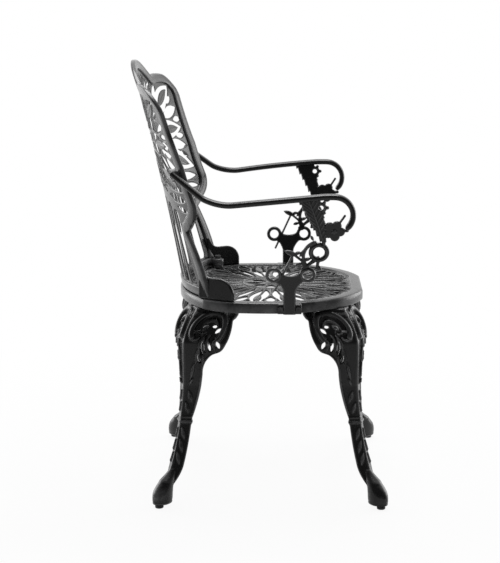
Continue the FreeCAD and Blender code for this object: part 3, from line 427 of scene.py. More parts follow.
def seat_outline():
    corner_x = HALF_SEAT - CORNER_RADIUS
    corner_y = SEAT_FRONT + CORNER_RADIUS - drop(CORNER_RADIUS, FRONT_FLAT - corner_x)
    start = math.degrees(math.atan2(SEAT_FRONT - corner_y, FRONT_FLAT - corner_x))
    side, rear_x = (HALF_SEAT - 5, WIDE_Y + 88.0), 186.0
    corner = (rear_x, SEAT_REAR - drop(REAR_RADIUS, rear_x))
    arch = (rear_x / 2, SEAT_REAR - drop(REAR_RADIUS, rear_x / 2))
    half = [(FRONT_FLAT * i / 12, SEAT_FRONT) for i in range(12)]
    half += [at((corner_x, corner_y), CORNER_RADIUS, start * (1 - i / 60)) for i in range(60)]
    half += arc_points((HALF_SEAT, corner_y), (HALF_SEAT - 1, (corner_y + side[1]) / 2), side, 20)
    half += arc_points(side, (HALF_SEAT - 18, WIDE_Y + 122), corner, 20)
    half += arc_points(corner, arch, (0, SEAT_REAR), 40)
    return np.array(half + [(0, SEAT_REAR)] + [(-x, y) for x, y in half[:0:-1]])


SEAT_LINE = even(seat_outline(), LINE_STEP)
SEAT_MIDDLE = (0.0, (SEAT_FRONT + SEAT_REAR) / 2)
seat_border = Outline(SEAT_LINE, SEAT_MIDDLE)
print("seat outline: %d points" % len(SEAT_LINE))

# %% [markdown]
# The seat's middle is a pierced plate with raised veins and rounded edges, so it is a relief of
# the sunburst. Its edge tucks under the plain border.

# %% Seat plate
BORDER = 24.0
PLATE = 7.0
SEAT_PETALS = 18
seat_burst, seat_veins = sunburst(SEAT_MIDDLE, SEAT_PETALS, lambda a: seat_border.reach(a) - BORDER)


def seat_field(u, v):
    edge, metal = seat_border.distance(u, v), seat_burst(u, v)
    metal = np.where(edge > -BORDER - 6, np.minimum(metal, -BORDER - edge - 3), metal)
    return np.maximum(metal, edge + BORDER - 4)


def seat_front(u, v, depth):
    rings = bead(ring(u, v, SEAT_MIDDLE, ROSETTE + RING_WIDTH / 2, 5.0), 2.5) * 0.6
    raised = ridge_height(u, v, seat_veins, 3.4, 1.2) + hub_height(u, v, SEAT_MIDDLE, 2.0) + rings
    return SEAT_TOP - 2.2 - edge_round(depth, 2.2) + raised


def seat_back(u, v, depth):
    return SEAT_TOP - PLATE - 0.5 + edge_round(depth, 1.5)


seat_panel = relief(seat_field, seat_front, seat_back, (-HALF_SEAT, SEAT_FRONT),
                    (HALF_SEAT, SEAT_REAR), FINE_CELL, lambda u, v, h: np.stack([u, v, h], 1))
print("seat plate: %d faces" % len(seat_panel[1]))

# %% [markdown]
# The border rolls over into a rim that hangs down and stiffens the seat. A bevel would round it
# evenly, but a real one has a flat top, a soft shoulder and a thin lip, so its section is drawn
# and swept round the outline.

# %% Seat rim
RIM_DEPTH = SEAT_TOP - SEAT_UNDER
RIM_WALL = 8.0
rim_section = [(-BORDER, -1.8), (-BORDER + 0.8, -0.7), (-BORDER + 2, -0.2), (-BORDER + 4, 0), (-5, 0),
               (-3.2, -0.3), (-1.6, -1.1), (-0.5, -2.4), (0, -4.4), (0, -RIM_DEPTH + 2.2),
               (-0.6, -RIM_DEPTH + 0.6), (-2.0, -RIM_DEPTH), (-RIM_WALL + 1.5, -RIM_DEPTH),
               (-RIM_WALL, -RIM_DEPTH + 1.5), (-RIM_WALL, -PLATE - 2), (-RIM_WALL - 2, -PLATE),
               (-BORDER, -PLATE)]
path = np.column_stack([SEAT_LINE, np.full(len(SEAT_LINE), SEAT_TOP)])
side = np.column_stack([outward(SEAT_LINE), np.zeros(len(SEAT_LINE))])
up = np.tile([0.0, 0.0, 1.0], (len(SEAT_LINE), 1))
seat = solid("seat_casting", *merge(seat_panel, sweep(path, side, up, rim_section[::-1], True)))
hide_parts("seat")

# %% [markdown]
# The back is a sheet that is tightly curved at the seat and nearly flat at the crest. One
# function gives the sheet's rear face from the width and the height, so that everything drawn
# flat in front view, its openwork and its rim, bends onto the same surface.

# %% Back surface
BACK_BASE_Y = SEAT_REAR - 3.0
BACK_LEAN = 104.0
BACK_BOW = 5.0
LEVELS = np.array([SEAT_TOP, 560.0, 700.0, 820.0, BACK_TOP])
LEVEL_RADII = np.array([310.0, 410.0, 450.0, 640.0, 1300.0])
WIDEST_BACK = 290.0
RIM_THICK = 10.0


def back_y(x, z):
    """Rear face of the back."""
    share = (z - SEAT_TOP) / (BACK_TOP - SEAT_TOP)
    middle = BACK_BASE_Y + BACK_LEAN * share - 4 * BACK_BOW * share * (1 - share)
    radius = 1 / np.interp(z, LEVELS, 1 / LEVEL_RADII)
    return middle - radius + np.sqrt(radius ** 2 - np.minimum(np.abs(x), WIDEST_BACK) ** 2)


def back_normal(x, z):
    """Level unit vector out of the rear face, as the casting's thickness is measured level."""
    step = 2.0
    slope = (back_y(x + step, z) - back_y(x - step, z)) / (2 * step)
    normal = np.stack([-slope, np.ones_like(slope), np.zeros_like(slope)], -1)
    return normal / np.linalg.norm(normal, axis=-1)[..., None]


def on_back(x, z, height):
    """A point at a height in front of the rear face."""
    return np.stack([x, back_y(x, z), z], 1) - back_normal(x, z) * np.asarray(height)[..., None]


print("back leans from y %.0f to y %.0f" % (back_y(0.0, SEAT_TOP), back_y(0.0, BACK_TOP)))

# %% [markdown]
# In front view the back has a low crest between two notches, round shoulders, and side rails that
# swell into a bulge, roll in to a waist and run down to the seat. Each stretch is one arc, which
# is how a pattern maker would draw it.

# %% Back outline
RAIL_X, BULGE_Z = 241.0, 628.0
FOOT_X, WAIST = 189.0, (187.0, 563.0)
CREST_RADIUS, NOTCH_X = 238.0, 135.0
SHOULDER_RADIUS, SHOULDER_X, SHOULDER_DROP = 45.0, 252.0, 46.0


def back_outline():
    """Right half from the crest down, then mirrored."""
    crest = (NOTCH_X / 2, BACK_TOP - drop(CREST_RADIUS, NOTCH_X / 2))
    notch = (NOTCH_X, BACK_TOP - drop(CREST_RADIUS, NOTCH_X))
    corner = (SHOULDER_X - SHOULDER_RADIUS, notch[1] - SHOULDER_DROP)
    brow, flank = at(corner, SHOULDER_RADIUS, 80), at(corner, SHOULDER_RADIUS, -8)
    bulge, roll, foot = (RAIL_X, BULGE_Z), (RAIL_X - 25, BULGE_Z - 45), (FOOT_X, SEAT_TOP + 1)
    half = arc_points((0, BACK_TOP), crest, notch, 30)
    half += arc_points(notch, ((NOTCH_X + brow[0]) / 2, notch[1] + 2), brow, 16)
    half += [at(corner, SHOULDER_RADIUS, 80 - 88 * i / 30) for i in range(30)]
    half += arc_points(flank, (RAIL_X - 6, (flank[1] + BULGE_Z) / 2 - 12), bulge, 30)
    half += arc_points(bulge, (RAIL_X - 7.5, BULGE_Z - 28), roll, 14)
    half += arc_points(roll, ((roll[0] + WAIST[0]) / 2, (roll[1] + WAIST[1]) / 2 - 2), WAIST, 8)
    half += arc_points(WAIST, (FOOT_X + 7, (WAIST[1] + SEAT_TOP) / 2 + 15), foot, 24)
    half += [(FOOT_X * (1 - i / 24), foot[1]) for i in range(24)]
    right = half + [(0, foot[1])]
    return np.array([(-x, z) for x, z in right] + right[-2:0:-1])


BACK_LINE = even(back_outline(), LINE_STEP)
MEDALLION = (0.0, 738.0)
back_border = Outline(BACK_LINE, (0.0, 700.0))
print("back outline: %d points" % len(BACK_LINE))

# %% [markdown]
# The upper back is a sunburst round a medallion, and the lower back a row of upright reeds with
# slots between them. Both are holes cut in one field. Each slot's head takes a hanging leaf, and
# a leaf-shaped opening fills the room beside the reeds.

# %% Back openwork
BACK_RIM = 20.0
BACK_PETALS = 16
REEDS, REED_WIDTH, REED_TOP, REED_ARCH = 8, 11.0, 628.0, 0.0011
SLOTS = REEDS + 1
SLOT_ROOM = 2 * (WAIST[0] - BACK_RIM - 6)
SLOT_WIDTH = (SLOT_ROOM - REEDS * REED_WIDTH) / SLOTS
slot_x = [(i - REEDS / 2) * (SLOT_WIDTH + REED_WIDTH) for i in range(SLOTS)]
medallion_border = Outline(BACK_LINE, MEDALLION)


def back_limit(degrees):
    run = medallion_border.reach(degrees) - BACK_RIM - 5
    fall = math.sin(math.radians(degrees))
    return min(run, (MEDALLION[1] - REED_TOP - RING_WIDTH) / -fall) if fall < -0.05 else run


back_burst, back_veins = sunburst(MEDALLION, BACK_PETALS, back_limit)
side_leaves = [((138, 634), (213, 629), 17.0), ((170, 613), (212, 606), 9.0)]
SLOT_FOOT = SEAT_TOP + BACK_RIM + 2 + SLOT_WIDTH / 2
print("%d slots of %.1f mm between %d reeds" % (SLOTS, SLOT_WIDTH, REEDS))


def back_field(u, v):
    edge = back_border.distance(u, v)
    slots = np.full(np.shape(u), FAR_OFF)
    for x in slot_x:
        head = REED_TOP - REED_ARCH * x * x - SLOT_WIDTH / 2
        slots = np.minimum(slots, bar(u, v, (x, SLOT_FOOT), (x, head), SLOT_WIDTH))
    upper = np.where(v > REED_TOP + 4, back_burst(u, v), -30.0)
    metal = np.maximum(upper, -slots)
    for start, end, width in side_leaves:
        metal = np.maximum(metal, -leaf(np.abs(u), v, start, end, width))
    for x in slot_x:
        top = REED_TOP - REED_ARCH * x * x
        metal = blend(metal, leaf(u, v, (x, top - 52), (x, top + 3), 11.0), 2.0)
    metal = np.where(edge > -BACK_RIM - 4, np.minimum(metal, -BACK_RIM - edge - 3), metal)
    return np.maximum(metal, edge + BACK_RIM - 4)


# %% [markdown]
# On its front the back carries veins, a bead on each reed, a ring round the medallion and a band
# over the reeds. They are real geometry, not a bump map, because they catch the light in profile
# and are there when the part is cast or printed.

# %% Back relief


def back_face(u, v, depth):
    reeds = np.zeros(np.shape(u))
    for x in slot_x[:-1]:
        centre = x + (SLOT_WIDTH + REED_WIDTH) / 2
        stem = bar(u, v, (centre, SEAT_TOP + 30), (centre, REED_TOP - 12), 5.0)
        reeds = np.maximum(reeds, bead(stem, 2.5))
    rings = bead(ring(u, v, MEDALLION, ROSETTE + RING_WIDTH / 2, 5.5), 2.75) * 0.8
    band = bead(np.abs(v - REED_TOP - RING_WIDTH / 2 + 0.0004 * u * u) - 2.5, 2.5) * 0.6
    band = np.where(np.abs(u) < 200, band, 0)
    beads = np.maximum(reeds * 0.7, np.maximum(rings, band))
    height = ridge_height(u, v, back_veins, 3.4, 1.3) + beads + hub_height(u, v, MEDALLION, 3.0)
    return 5.2 + np.minimum(height, 3.0) - edge_round(depth, 1.8)


def back_rear_face(u, v, depth):
    return 2.6 - ridge_height(u, v, back_veins, 3.4, 1.2) + edge_round(depth, 1.6)


back_panel = relief(back_field, back_face, back_rear_face,
                    (-245, SEAT_TOP), (245, BACK_TOP), FINE_CELL, on_back)
print("back panel: %d faces" % len(back_panel[1]))

# %% [markdown]
# The back's rim is a flat bar with a raised outer bead. Its section is carried round the outline on
# the curved surface, so it bends with the sheet, which a plain sweep in space wouldn't do.

# %% Back rim
half_rim = BACK_RIM / 2
bar_section = [(half_rim - 2, 0), (half_rim - 0.6, 0.6), (half_rim, 2), (half_rim, 8),
               (half_rim - 0.8, 9.3), (half_rim - 3, 10), (half_rim - 4.5, 9.2), (half_rim - 6, 9.5),
               (0, 10), (-half_rim + 3, 9.4), (-half_rim + 0.8, 8.4), (-half_rim, 6), (-half_rim, 2),
               (-half_rim + 0.6, 0.6), (-half_rim + 2, 0)]


def back_bar(line, inward_shift, section):
    """Sweeps a section round an outline drawn on the back's surface."""
    normal, points = outward(line), []
    for across, height in section:
        ring_line = line + normal * (inward_shift + across)
        points.append(on_back(ring_line[:, 0], ring_line[:, 1], np.full(len(line), float(height))))
    return np.stack(points, 1).reshape(-1, 3), grid_faces(len(line), len(section))


back_rim = back_bar(BACK_LINE, -half_rim, bar_section)
print("back rim: %d points" % len(back_rim[0]))

# %% [markdown]
# The bosses that take the bolts are turned shapes. A cylinder with a bevel would do, but a profile
# spun about an axis, as on a lathe, eases the edge and also gives the arms' tabs.

# %% Turned bosses


def turned(centre, axis, profile, steps=40):
    """Points and faces of a profile, a list of (radius, along), spun about an axis."""
    axis = Vector(axis).normalized()
    first = axis.orthogonal().normalized()
    second = axis.cross(first)
    points = []
    for i in range(steps):
        turn = 2 * math.pi * i / steps
        spoke = first * math.cos(turn) + second * math.sin(turn)
        points += [tuple(Vector(centre) + spoke * radius + axis * along) for radius, along in profile]
    return np.array(points), grid_faces(steps, len(profile), round_wide=False)


def boss_profile(radius, height, edge):
    """A disc with an eased upper edge, from the middle of its foot to the middle of its top."""
    return [(0.01, 0), (radius, 0), (radius, height - edge),
            (radius - 0.3 * edge, height - 0.3 * edge), (radius - edge, height), (0.01, height)]


print("a boss has %d corners in its profile" % len(boss_profile(13.0, 20.0, 2.5)))

# %% [markdown]
# Two ears run from the feet of the back along the seat. They are flat plates with a quarter-round
# nose, so one is a small relief that stands upright. With its lug and its boss it is made for the
# left side, mirrored, and joined with the panel and the rim into one casting. As it stands, the
# left ear's faces look inwards, which doesn't show while both sides of a face are drawn.

# %% Ears, lugs and the whole back
EAR_CELL = 1.6
EAR_LENGTH, EAR_HEIGHT, EAR_THICK, EAR_NOSE = 60.0, 44.0, 8.0, 32.0
EAR_TOE = math.radians(29.0)
LUG_RADIUS, LUG_HEIGHT = 13.0, 20.0
LUG_X = FOOT_X - LUG_RADIUS - 5
LUG_Y = float(back_y(LUG_X, SEAT_TOP)) - RIM_THICK - LUG_RADIUS + 4
JOINT_X = RAIL_X - 9.6 - BACK_RIM / 2
JOINT_Z = 682.0
JOINT_TURN = math.radians(30.0)
JOINT_AXIS = np.array([math.sin(JOINT_TURN), math.cos(JOINT_TURN), 0])


def ear_field(u, v):
    across, above = (np.clip(p, 0, None) for p in (u - EAR_LENGTH + EAR_NOSE, v - EAR_HEIGHT + EAR_NOSE))
    climb = bar(u, v, (-8, EAR_HEIGHT - 6), (-20, 60), 12.0)
    return np.maximum(np.maximum(blend(np.hypot(across, above) - EAR_NOSE, climb, 12.0), -v), -22 - u)


def ear():
    """The left ear: u runs forward, v up, and the height outwards."""
    root_x = FOOT_X - EAR_THICK
    root = np.array([root_x, float(back_y(root_x, SEAT_TOP)) - RIM_THICK + 2, SEAT_TOP])
    along = np.array([math.sin(EAR_TOE), -math.cos(EAR_TOE), 0])
    across = np.array([math.cos(EAR_TOE), math.sin(EAR_TOE), 0])

    def place(u, v, h):
        return root + u[:, None] * along + v[:, None] * [0, 0, 1] + h[:, None] * across

    return relief(ear_field, lambda u, v, d: EAR_THICK - edge_round(d, 1.6),
                  lambda u, v, d: edge_round(d, 1.6), (-24, 0), (EAR_LENGTH, 64), EAR_CELL, place)


def joint_point(off):
    """A point on the axis of the left arm's rear bolt, a distance behind the rim."""
    return np.array([JOINT_X, float(back_y(JOINT_X, JOINT_Z)), JOINT_Z]) + JOINT_AXIS * off


lug = turned((LUG_X, LUG_Y, SEAT_TOP), (0, 0, 1), boss_profile(LUG_RADIUS, LUG_HEIGHT, 2.5))
bosses = merge(lug, turned(joint_point(-4), JOINT_AXIS, boss_profile(9.0, 8.0, 0.8)))
ear_points, ear_faces = ear()
right_half = merge((ear_points * [-1, 1, 1], ear_faces), mirrored(*bosses))
left_half = merge((ear_points, ear_faces), bosses)
back = solid("back_casting", *merge(back_panel, back_rim, right_half, left_half))
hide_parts("backrest")

# %% [markdown]
# An arm is one casting: a flat rail with a crowned top that runs from behind the back, dips, rises
# and curls over at the front, and under it a leaning support of scrolls, a frond and a flower.
# The rail is a sweep along its top line, and its section shrinks at the scroll's tip. The left
# arm is made here, and its mirror image is the right arm. As they stand, the faces along the rails
# and those of the brackets below them look inwards, like those of the left ear.

# %% Arm rail
ARM_TOP = 656.0
ARM_SPREAD, ARM_WIDTH, ARM_THICK = 287.0, 22.0, 11.5
SCROLL_RADIUS, SCROLL_END = 42.0, 230.0
SCROLL = (WIDE_Y - 155.0 + SCROLL_RADIUS, ARM_TOP - SCROLL_RADIUS)
DIP = (WIDE_Y + 93.0, ARM_TOP - 19.0)


def rail_x(y):
    """Plan of the rail's middle line: bowed out from the back, straight along the front."""
    start, bow = (JOINT_X + 17, WIDE_Y + 216), (ARM_SPREAD - 9, WIDE_Y + 90)
    end = (ARM_SPREAD, WIDE_Y - 100)
    bowed = np.array(arc_points(start, bow, end, 60) + [end])[::-1]
    return np.interp(y, bowed[:, 1], bowed[:, 0])


def rail_line():
    """Side view of the rail's top: (y, z) from the back to the tip of the scroll."""
    rear, bend = (WIDE_Y + 206, JOINT_Z + 12), (WIDE_Y + 146, DIP[1] + 11)
    crown = (SCROLL[0] + 20, ARM_TOP)
    line = arc_points(rear, ((rear[0] + bend[0]) / 2, (rear[1] + bend[1]) / 2), bend, 12)
    line += arc_points(bend, (WIDE_Y + 121, DIP[1] + 2.6), DIP, 16)
    line += arc_points(DIP, (WIDE_Y, ARM_TOP - 8.5), crown, 40)
    line += arc_points(crown, (SCROLL[0] + 10, ARM_TOP), (SCROLL[0], ARM_TOP), 6)
    line += [at(SCROLL, SCROLL_RADIUS, 90 + (SCROLL_END - 90) * i / 40) for i in range(41)]
    smooth = even(line, 2.5, closed=False)
    for _ in range(6):
        smooth[1:-1] = (smooth[:-2] + 2 * smooth[1:-1] + smooth[2:]) / 4
    return smooth


half_arm = ARM_WIDTH / 2
rail_side = [(half_arm, -5.4), (half_arm - 0.3, -3.6), (half_arm - 1.2, -2.2), (half_arm - 2.8, -1.1),
             (half_arm - 5.2, -0.35), (3.0, 0)]
rail_under = [(half_arm - 4.6, -ARM_THICK), (half_arm - 2.4, -10.6), (half_arm - 0.7, -8.6)]
other_half = [(-x, z) for x, z in rail_side[::-1] + rail_under[::-1]]
rail_section = np.array(rail_side + other_half + rail_under)


def arm_rail():
    """The left rail: its section stands square to the line, and shrinks over the last rows."""
    line = rail_line()
    path = np.column_stack([rail_x(line[:, 0]), line])
    tangent = np.gradient(path, axis=0)
    tangent /= np.linalg.norm(tangent, axis=1)[:, None]
    across = np.array([1, 0, 0]) - tangent * tangent[:, :1]
    across /= np.linalg.norm(across, axis=1)[:, None]
    grow = np.clip(np.arange(len(path))[::-1] / 5.0, 0, 1)
    grow = 0.55 + 0.45 * np.sqrt(1 - (1 - grow) ** 2)
    middle = np.array([0, -ARM_THICK / 2])
    section = middle + (rail_section - middle) * grow[:, None, None]
    return sweep(path, across, np.cross(tangent, across), section, False)


print("arm rail: %d points" % len(arm_rail()[0]))

# %% [markdown]
# Under the rail stands one flat casting that leans outwards: a post that forks into two scrolls, a
# wreath, a vine with small leaves, a flower, a bud and a hanging frond. Bent tubes would cross each
# other where the real casting is one sheet, so the scrolls and leaves are drawn and blended as
# distances.

# %% Arm support drawing
BRACKET_LOW = SEAT_UNDER + 1
SUPPORT_LEAN = math.atan2(ARM_SPREAD - HALF_SEAT - 8, ARM_TOP - ARM_THICK - SEAT_TOP)
SUPPORT_THICK = 9.0
SUPPORT_CELL = 1.1
POST = WIDE_Y - 25.0
FORK = SEAT_TOP + 50
SCROLL_RING, SCROLL_BAR = 13.2, 7.4


def beside_post(forward, above):
    """A place on the support, from the widest line of the seat and from its top."""
    return (WIDE_Y - forward, SEAT_TOP + above)


REAR_SCROLL, FRONT_SCROLL = beside_post(-7, 66), beside_post(61, 67)
WREATH, FLOWER = beside_post(83, 116), beside_post(112, 162)
BUD = (WIDE_Y - 86, ARM_TOP - 21)
FROND_FOOT = SEAT_TOP + 127
FROND_LENGTH = ARM_TOP - FROND_FOOT


def frond_place(u, v):
    """Share of the way up the frond, distance from its rib, and half of its width there."""
    rise = np.clip((v - FROND_FOOT) / FROND_LENGTH, 0, 1)
    middle = WIDE_Y - 93 + 33 * rise ** 1.25
    return rise, u - middle, 23.5 * rise ** 0.62


def frond(u, v):
    """A leaf with toothed edges that hangs from the rail and narrows to its foot."""
    rise, off, half = frond_place(u, v)
    tooth = ((rise * FROND_LENGTH + 0.7 * np.abs(off)) / 15.0) % 1.0
    edge = np.abs(off) - half + np.where(off > 0, 4.6, 2.2) * tooth - 1.0
    return np.maximum(0.93 * edge, FROND_FOOT - v)


def between_places(*rows):
    """Strokes (start, end, width) from rows of forward, above, forward, above, width."""
    return [(beside_post(*row[:2]), beside_post(*row[2:4]), row[4]) for row in rows]


vine = between_places((57, 78, 52, 92, 7.0), (51, 80, 76, 100, 7.0), (79, 82, 82, 98, 6.5),
                      (-4, 34, 30, 108, 4.6), (34, 110, 50, 97, 5.0), (50, 97, 55, 82, 5.0),
                      (88, 146, 112, 162, 7.0), (112, 162, 133, 194, 4.6))
vine.append((FLOWER, at(SCROLL, SCROLL_RADIUS - 5, SCROLL_END - 3), 7.0))
vine_leaves = between_places((14, 119, 40, 109, 10.0), (44, 106, 58, 124, 8.0), (34, 112, 47, 116, 7.0),
                             (50, 98, 68, 103, 7.5), (51, 92, 36, 88, 7.0), (64, 90, 84, 108, 9.0),
                             (72, 141, 66, 152, 6.0), (79, 88, 88, 77, 8.0))
print("%d stems and %d leaves in a support" % (len(vine), len(vine_leaves)))


def support_field(u, v):
    metal = np.maximum(np.abs(u - POST) - 12.5, v - FORK + 6)
    for scroll in (REAR_SCROLL, FRONT_SCROLL):
        metal = blend(metal, bar(u, v, (POST, FORK - 2), scroll, 25.0, 15.0), 12.0)
    for scroll in (REAR_SCROLL, FRONT_SCROLL):
        metal = blend(metal, ring(u, v, scroll, SCROLL_RING, SCROLL_BAR), 4.0)
        metal = np.maximum(metal, -disc(u, v, scroll, SCROLL_RING - SCROLL_BAR / 2))
    metal = blend(metal, ring(u, v, WREATH, 16.0, 9.6), 3.0)
    metal = blend(metal, curl(u, v, beside_post(85, 106), 33.0, 7.0, -26, 72), 2.0)
    metal = np.minimum(metal, frond(u, v))
    for start, end, width in vine:
        metal = blend(metal, bar(u, v, start, end, width), 2.0)
    for start, end, width in vine_leaves:
        metal = blend(metal, leaf(u, v, start, end, width), 1.5)
    metal = blend(metal, ring(u, v, BUD, 8.0, 6.6), 2.0)
    for turn in range(0, 360, 60):
        metal = blend(metal, disc(u, v, at(BUD, 12.5, turn), 3.4), 1.5)
    metal = np.maximum(metal, -disc(u, v, BUD, 4.7))
    for index in range(5):
        metal = blend(metal, disc(u, v, at(FLOWER, 12.5, 45 + 72 * index), 9.6), 1.2)
    return np.maximum(metal, v - ARM_TOP + 3)


# %% [markdown]
# The support's face carries a rib and veins on the frond, grooves between the flower's petals and
# a bead on each scroll. Below, a block hugs the seat's rim and takes two screws, and behind, a
# turned tab lies on the back's boss. All of it is merged into one casting per side.

# %% Arm support and arms


def support_face(u, v, depth):
    rise, off, half = frond_place(u, v)
    rib = bead(np.abs(off) - 1.6, 1.6)
    vein = 0.9 * np.clip(np.cos((rise * FROND_LENGTH - 1.1 * np.abs(off)) * 2 * math.pi / 9.0), 0, 1)
    height = np.where(frond(u, v) < -1, np.maximum(rib, vein), 0)
    height = np.maximum(height, bead(disc(u, v, FLOWER, 5.5), 5.5) * 0.5)
    petal_turn = np.degrees(np.arctan2(v - FLOWER[1], u - FLOWER[0]))
    in_flower = disc(u, v, FLOWER, 22) < 0
    groove = np.clip(1 - np.abs((petal_turn - 9 + 36) % 72 - 36) / 7.0, 0, 1)
    height = height - np.where(in_flower, 1.8 * groove, 0)
    for scroll in (REAR_SCROLL, FRONT_SCROLL):
        height = np.maximum(height, bead(ring(u, v, scroll, SCROLL_RING, 4.0), 2.0) * 0.6)
    height = np.maximum(height, bead(ring(u, v, WREATH, 16.0, 4.0), 2.0) * 0.7)
    return SUPPORT_THICK - 1.6 + np.minimum(height, 1.6) - edge_round(depth, 3.0)


def arm_support():
    """The left support: u runs backwards, v up along its lean, and the height outwards."""
    root = np.array([HALF_SEAT + 1, 0, BRACKET_LOW])
    up = np.array([math.sin(SUPPORT_LEAN), 0, math.cos(SUPPORT_LEAN)])
    off = np.array([math.cos(SUPPORT_LEAN), 0, -math.sin(SUPPORT_LEAN)])

    def place(u, v, h):
        return root + (v - BRACKET_LOW)[:, None] * up + h[:, None] * off + u[:, None] * [0, 1, 0]

    return relief(support_field, support_face, lambda u, v, d: edge_round(d, 2.6),
                  (WIDE_Y - 150, BRACKET_LOW), (WIDE_Y + 30, ARM_TOP), SUPPORT_CELL, place)


def bracket():
    """Block that hugs the seat's rim and takes the two screws."""
    ys = np.linspace(POST - 24.5, POST + 24.5, 25)
    line = SEAT_LINE[(SEAT_LINE[:, 0] > 150) & (SEAT_LINE[:, 1] < WIDE_Y + 60)]
    line = line[np.argsort(line[:, 1])]
    inner = np.interp(ys, line[:, 1], line[:, 0]) + 0.2
    ease = np.clip(np.minimum(ys - ys[0], ys[-1] - ys) / 2.0, 0, 1)
    outer = HALF_SEAT + 8.0 - 2.0 * (1 - np.sqrt(1 - (1 - ease) ** 2))
    low, high = BRACKET_LOW, BRACKET_LOW + 20
    points = []
    for y, a, b in zip(ys, inner, outer):
        section = ((a, low), (b - 2, low), (b - 0.6, low + 0.6), (b, low + 2),
                   (b, high - 2), (b - 0.6, high - 0.6), (b - 2, high), (a, high))
        points += [(x, y, z) for x, z in section]
    return np.array(points), flipped(capped_faces(len(ys), 8))


tab = turned(joint_point(4), JOINT_AXIS, boss_profile(half_arm, ARM_THICK - 1, 1.2))
left_side = merge(arm_rail(), arm_support(), bracket(), tab)
arms = {}
for node, mesh in (("right_arm", mirrored(*left_side)), ("left_arm", left_side)):
    arms[node] = solid(node + "_casting", *mesh)
    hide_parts(node)

# %% [markdown]
# A leg is a cabriole form cast as an angle: two webs meet in a rounded ridge that faces the
# corner. It is drawn unrolled, with the ridge as the middle line, and the mapping folds it over
# the ridge and bends it along the S-curve. Knee scrolls, leaves and the collar are raised lines.

# %% Leg surface
LEG_TURN = {"front_left": -41.5, "front_right": 221.5, "rear_left": 41.5, "rear_right": 138.5}
LEG_CENTRE_Y = WIDE_Y + 13.0
HEAD, KNEE, FOOT = 230.0, 271.0, 344.0
WEB = 6.0
HALF_ANGLE = math.radians(54.0)
RIDGE_ROUND = 7.0
HEAD_Z = SEAT_UNDER
shoulder = arc_points((HEAD, HEAD_Z - 8), (HEAD + 27, HEAD_Z - 34), (KNEE, 335), 30)
shaft = arc_points((KNEE, 245), (KNEE + 18, 138), (FOOT - 28, 62), 40)
ridge_points = np.array([(HEAD, HEAD_Z)] + shoulder + [(KNEE, 335), (KNEE, 290)]
                        + shaft + [(FOOT - 28, 62), (FOOT - 16, 30)])
width_points = np.array([(86, HEAD_Z), (88, HEAD_Z - 17), (84, HEAD_Z - 19)]
                        + arc_points((84, HEAD_Z - 19), (92, 359), (84, 327), 16)
                        + arc_points((84, 327), (75, 317), (62, 313), 8)
                        + arc_points((62, 313), (44, 293), (39, 269), 12)
                        + arc_points((39, 269), (33, 225), (22.5, 176), 16)
                        + [(22.5, 176), (25, 173), (25, 168), (22.5, 165)]
                        + arc_points((22.5, 165), (23.5, 120), (24, 82), 12)
                        + arc_points((24, 82), (20.5, 62), (13.5, 46), 8) + [(13.5, 46), (13, 28)])


def smooth_by_height(points):
    """A table of value by height, eased so that a carved line has no kinks."""
    heights = np.arange(28.0, HEAD_Z + 1, 1.0)
    values = np.interp(heights, points[::-1, 1], points[::-1, 0])
    padded = np.pad(values, 3, mode="edge")
    return heights, np.convolve(padded, np.array([1, 2, 3, 4, 3, 2, 1]) / 16, mode="valid")


ridge_heights, ridge_values = smooth_by_height(ridge_points)
width_heights, width_values = smooth_by_height(width_points)


def ridge_place(z):
    """Distance of the ridge from the middle of the legs' circle."""
    return np.interp(z, ridge_heights, ridge_values)


def web_width(z):
    return np.interp(z, width_heights, width_values)


def on_leg(s, z, height):
    """Folds the drawing over the ridge: s runs across both webs, height is out of the metal."""
    flat_half = RIDGE_ROUND * (math.pi / 2 - HALF_ANGLE)
    t = np.abs(s)
    turn = np.clip(t, 0, flat_half) / RIDGE_ROUND
    beyond = np.clip(t - flat_half, 0, None)
    x = -RIDGE_ROUND / math.sin(HALF_ANGLE) + RIDGE_ROUND * np.cos(turn) - beyond * math.cos(HALF_ANGLE)
    y = RIDGE_ROUND * np.sin(turn) + beyond * math.sin(HALF_ANGLE)
    slope = (ridge_place(z + 1) - ridge_place(z - 1)) / 2
    normal = np.stack([np.cos(turn), np.sin(turn) * np.sign(s), -np.cos(turn) * slope], 1)
    normal /= np.linalg.norm(normal, axis=1)[:, None]
    base = np.stack([ridge_place(z) + x, y * np.sign(s), z], 1)
    return base + normal * np.asarray(height)[:, None]


print("web %.0f mm wide at the knee, %.0f mm at the ankle" % (web_width(327), web_width(120)))

# %% [markdown]
# The knee carries C-scrolls and long leaves with small openings between them, and the shaft a row
# of leaves, a collar and a beaded border. On the real leg they stand a few millimetres out of the
# web. Sculpting would do, but strokes in a list keep both webs and all four legs alike.

# %% Leg carving
KNEE_SCROLL = (44.0, 362.0)
SCROLL_R = 32.0
scroll_curls = [(KNEE_SCROLL, SCROLL_R, 13.0, -52, 208, 8.0), ((23, 350), 8.5, 6.5, 40, 330, 6.0),
                ((57, 342), 8.5, 6.0, -240, 20, 5.5), ((46, 362), 17.0, 6.0, -10, 190, 3.5),
                ((36, 358), 5.0, 4.5, 0, 300, 3.0)]
knee_leaves = [((44, 354), (30, 320), 12.0), ((50, 352), (46, 314), 11.0), ((60, 336), (66, 318), 9.0),
               ((34, 330), (24, 288), 12.0), ((24, 300), (14, 256), 9.0), ((42, 320), (37, 286), 8.0),
               ((20, 262), (12, 246), 7.0)]
knee_holes = [((60, 356), (70, 366), 7.0), ((51, 338), (55, 318), 5.5), ((68, 340), (74, 324), 7.0),
              ((39, 340), (40, 312), 5.5), ((32, 366), (42, 370), 6.0), ((50, 370), (60, 368), 5.5),
              ((30, 312), (33, 294), 4.5)]
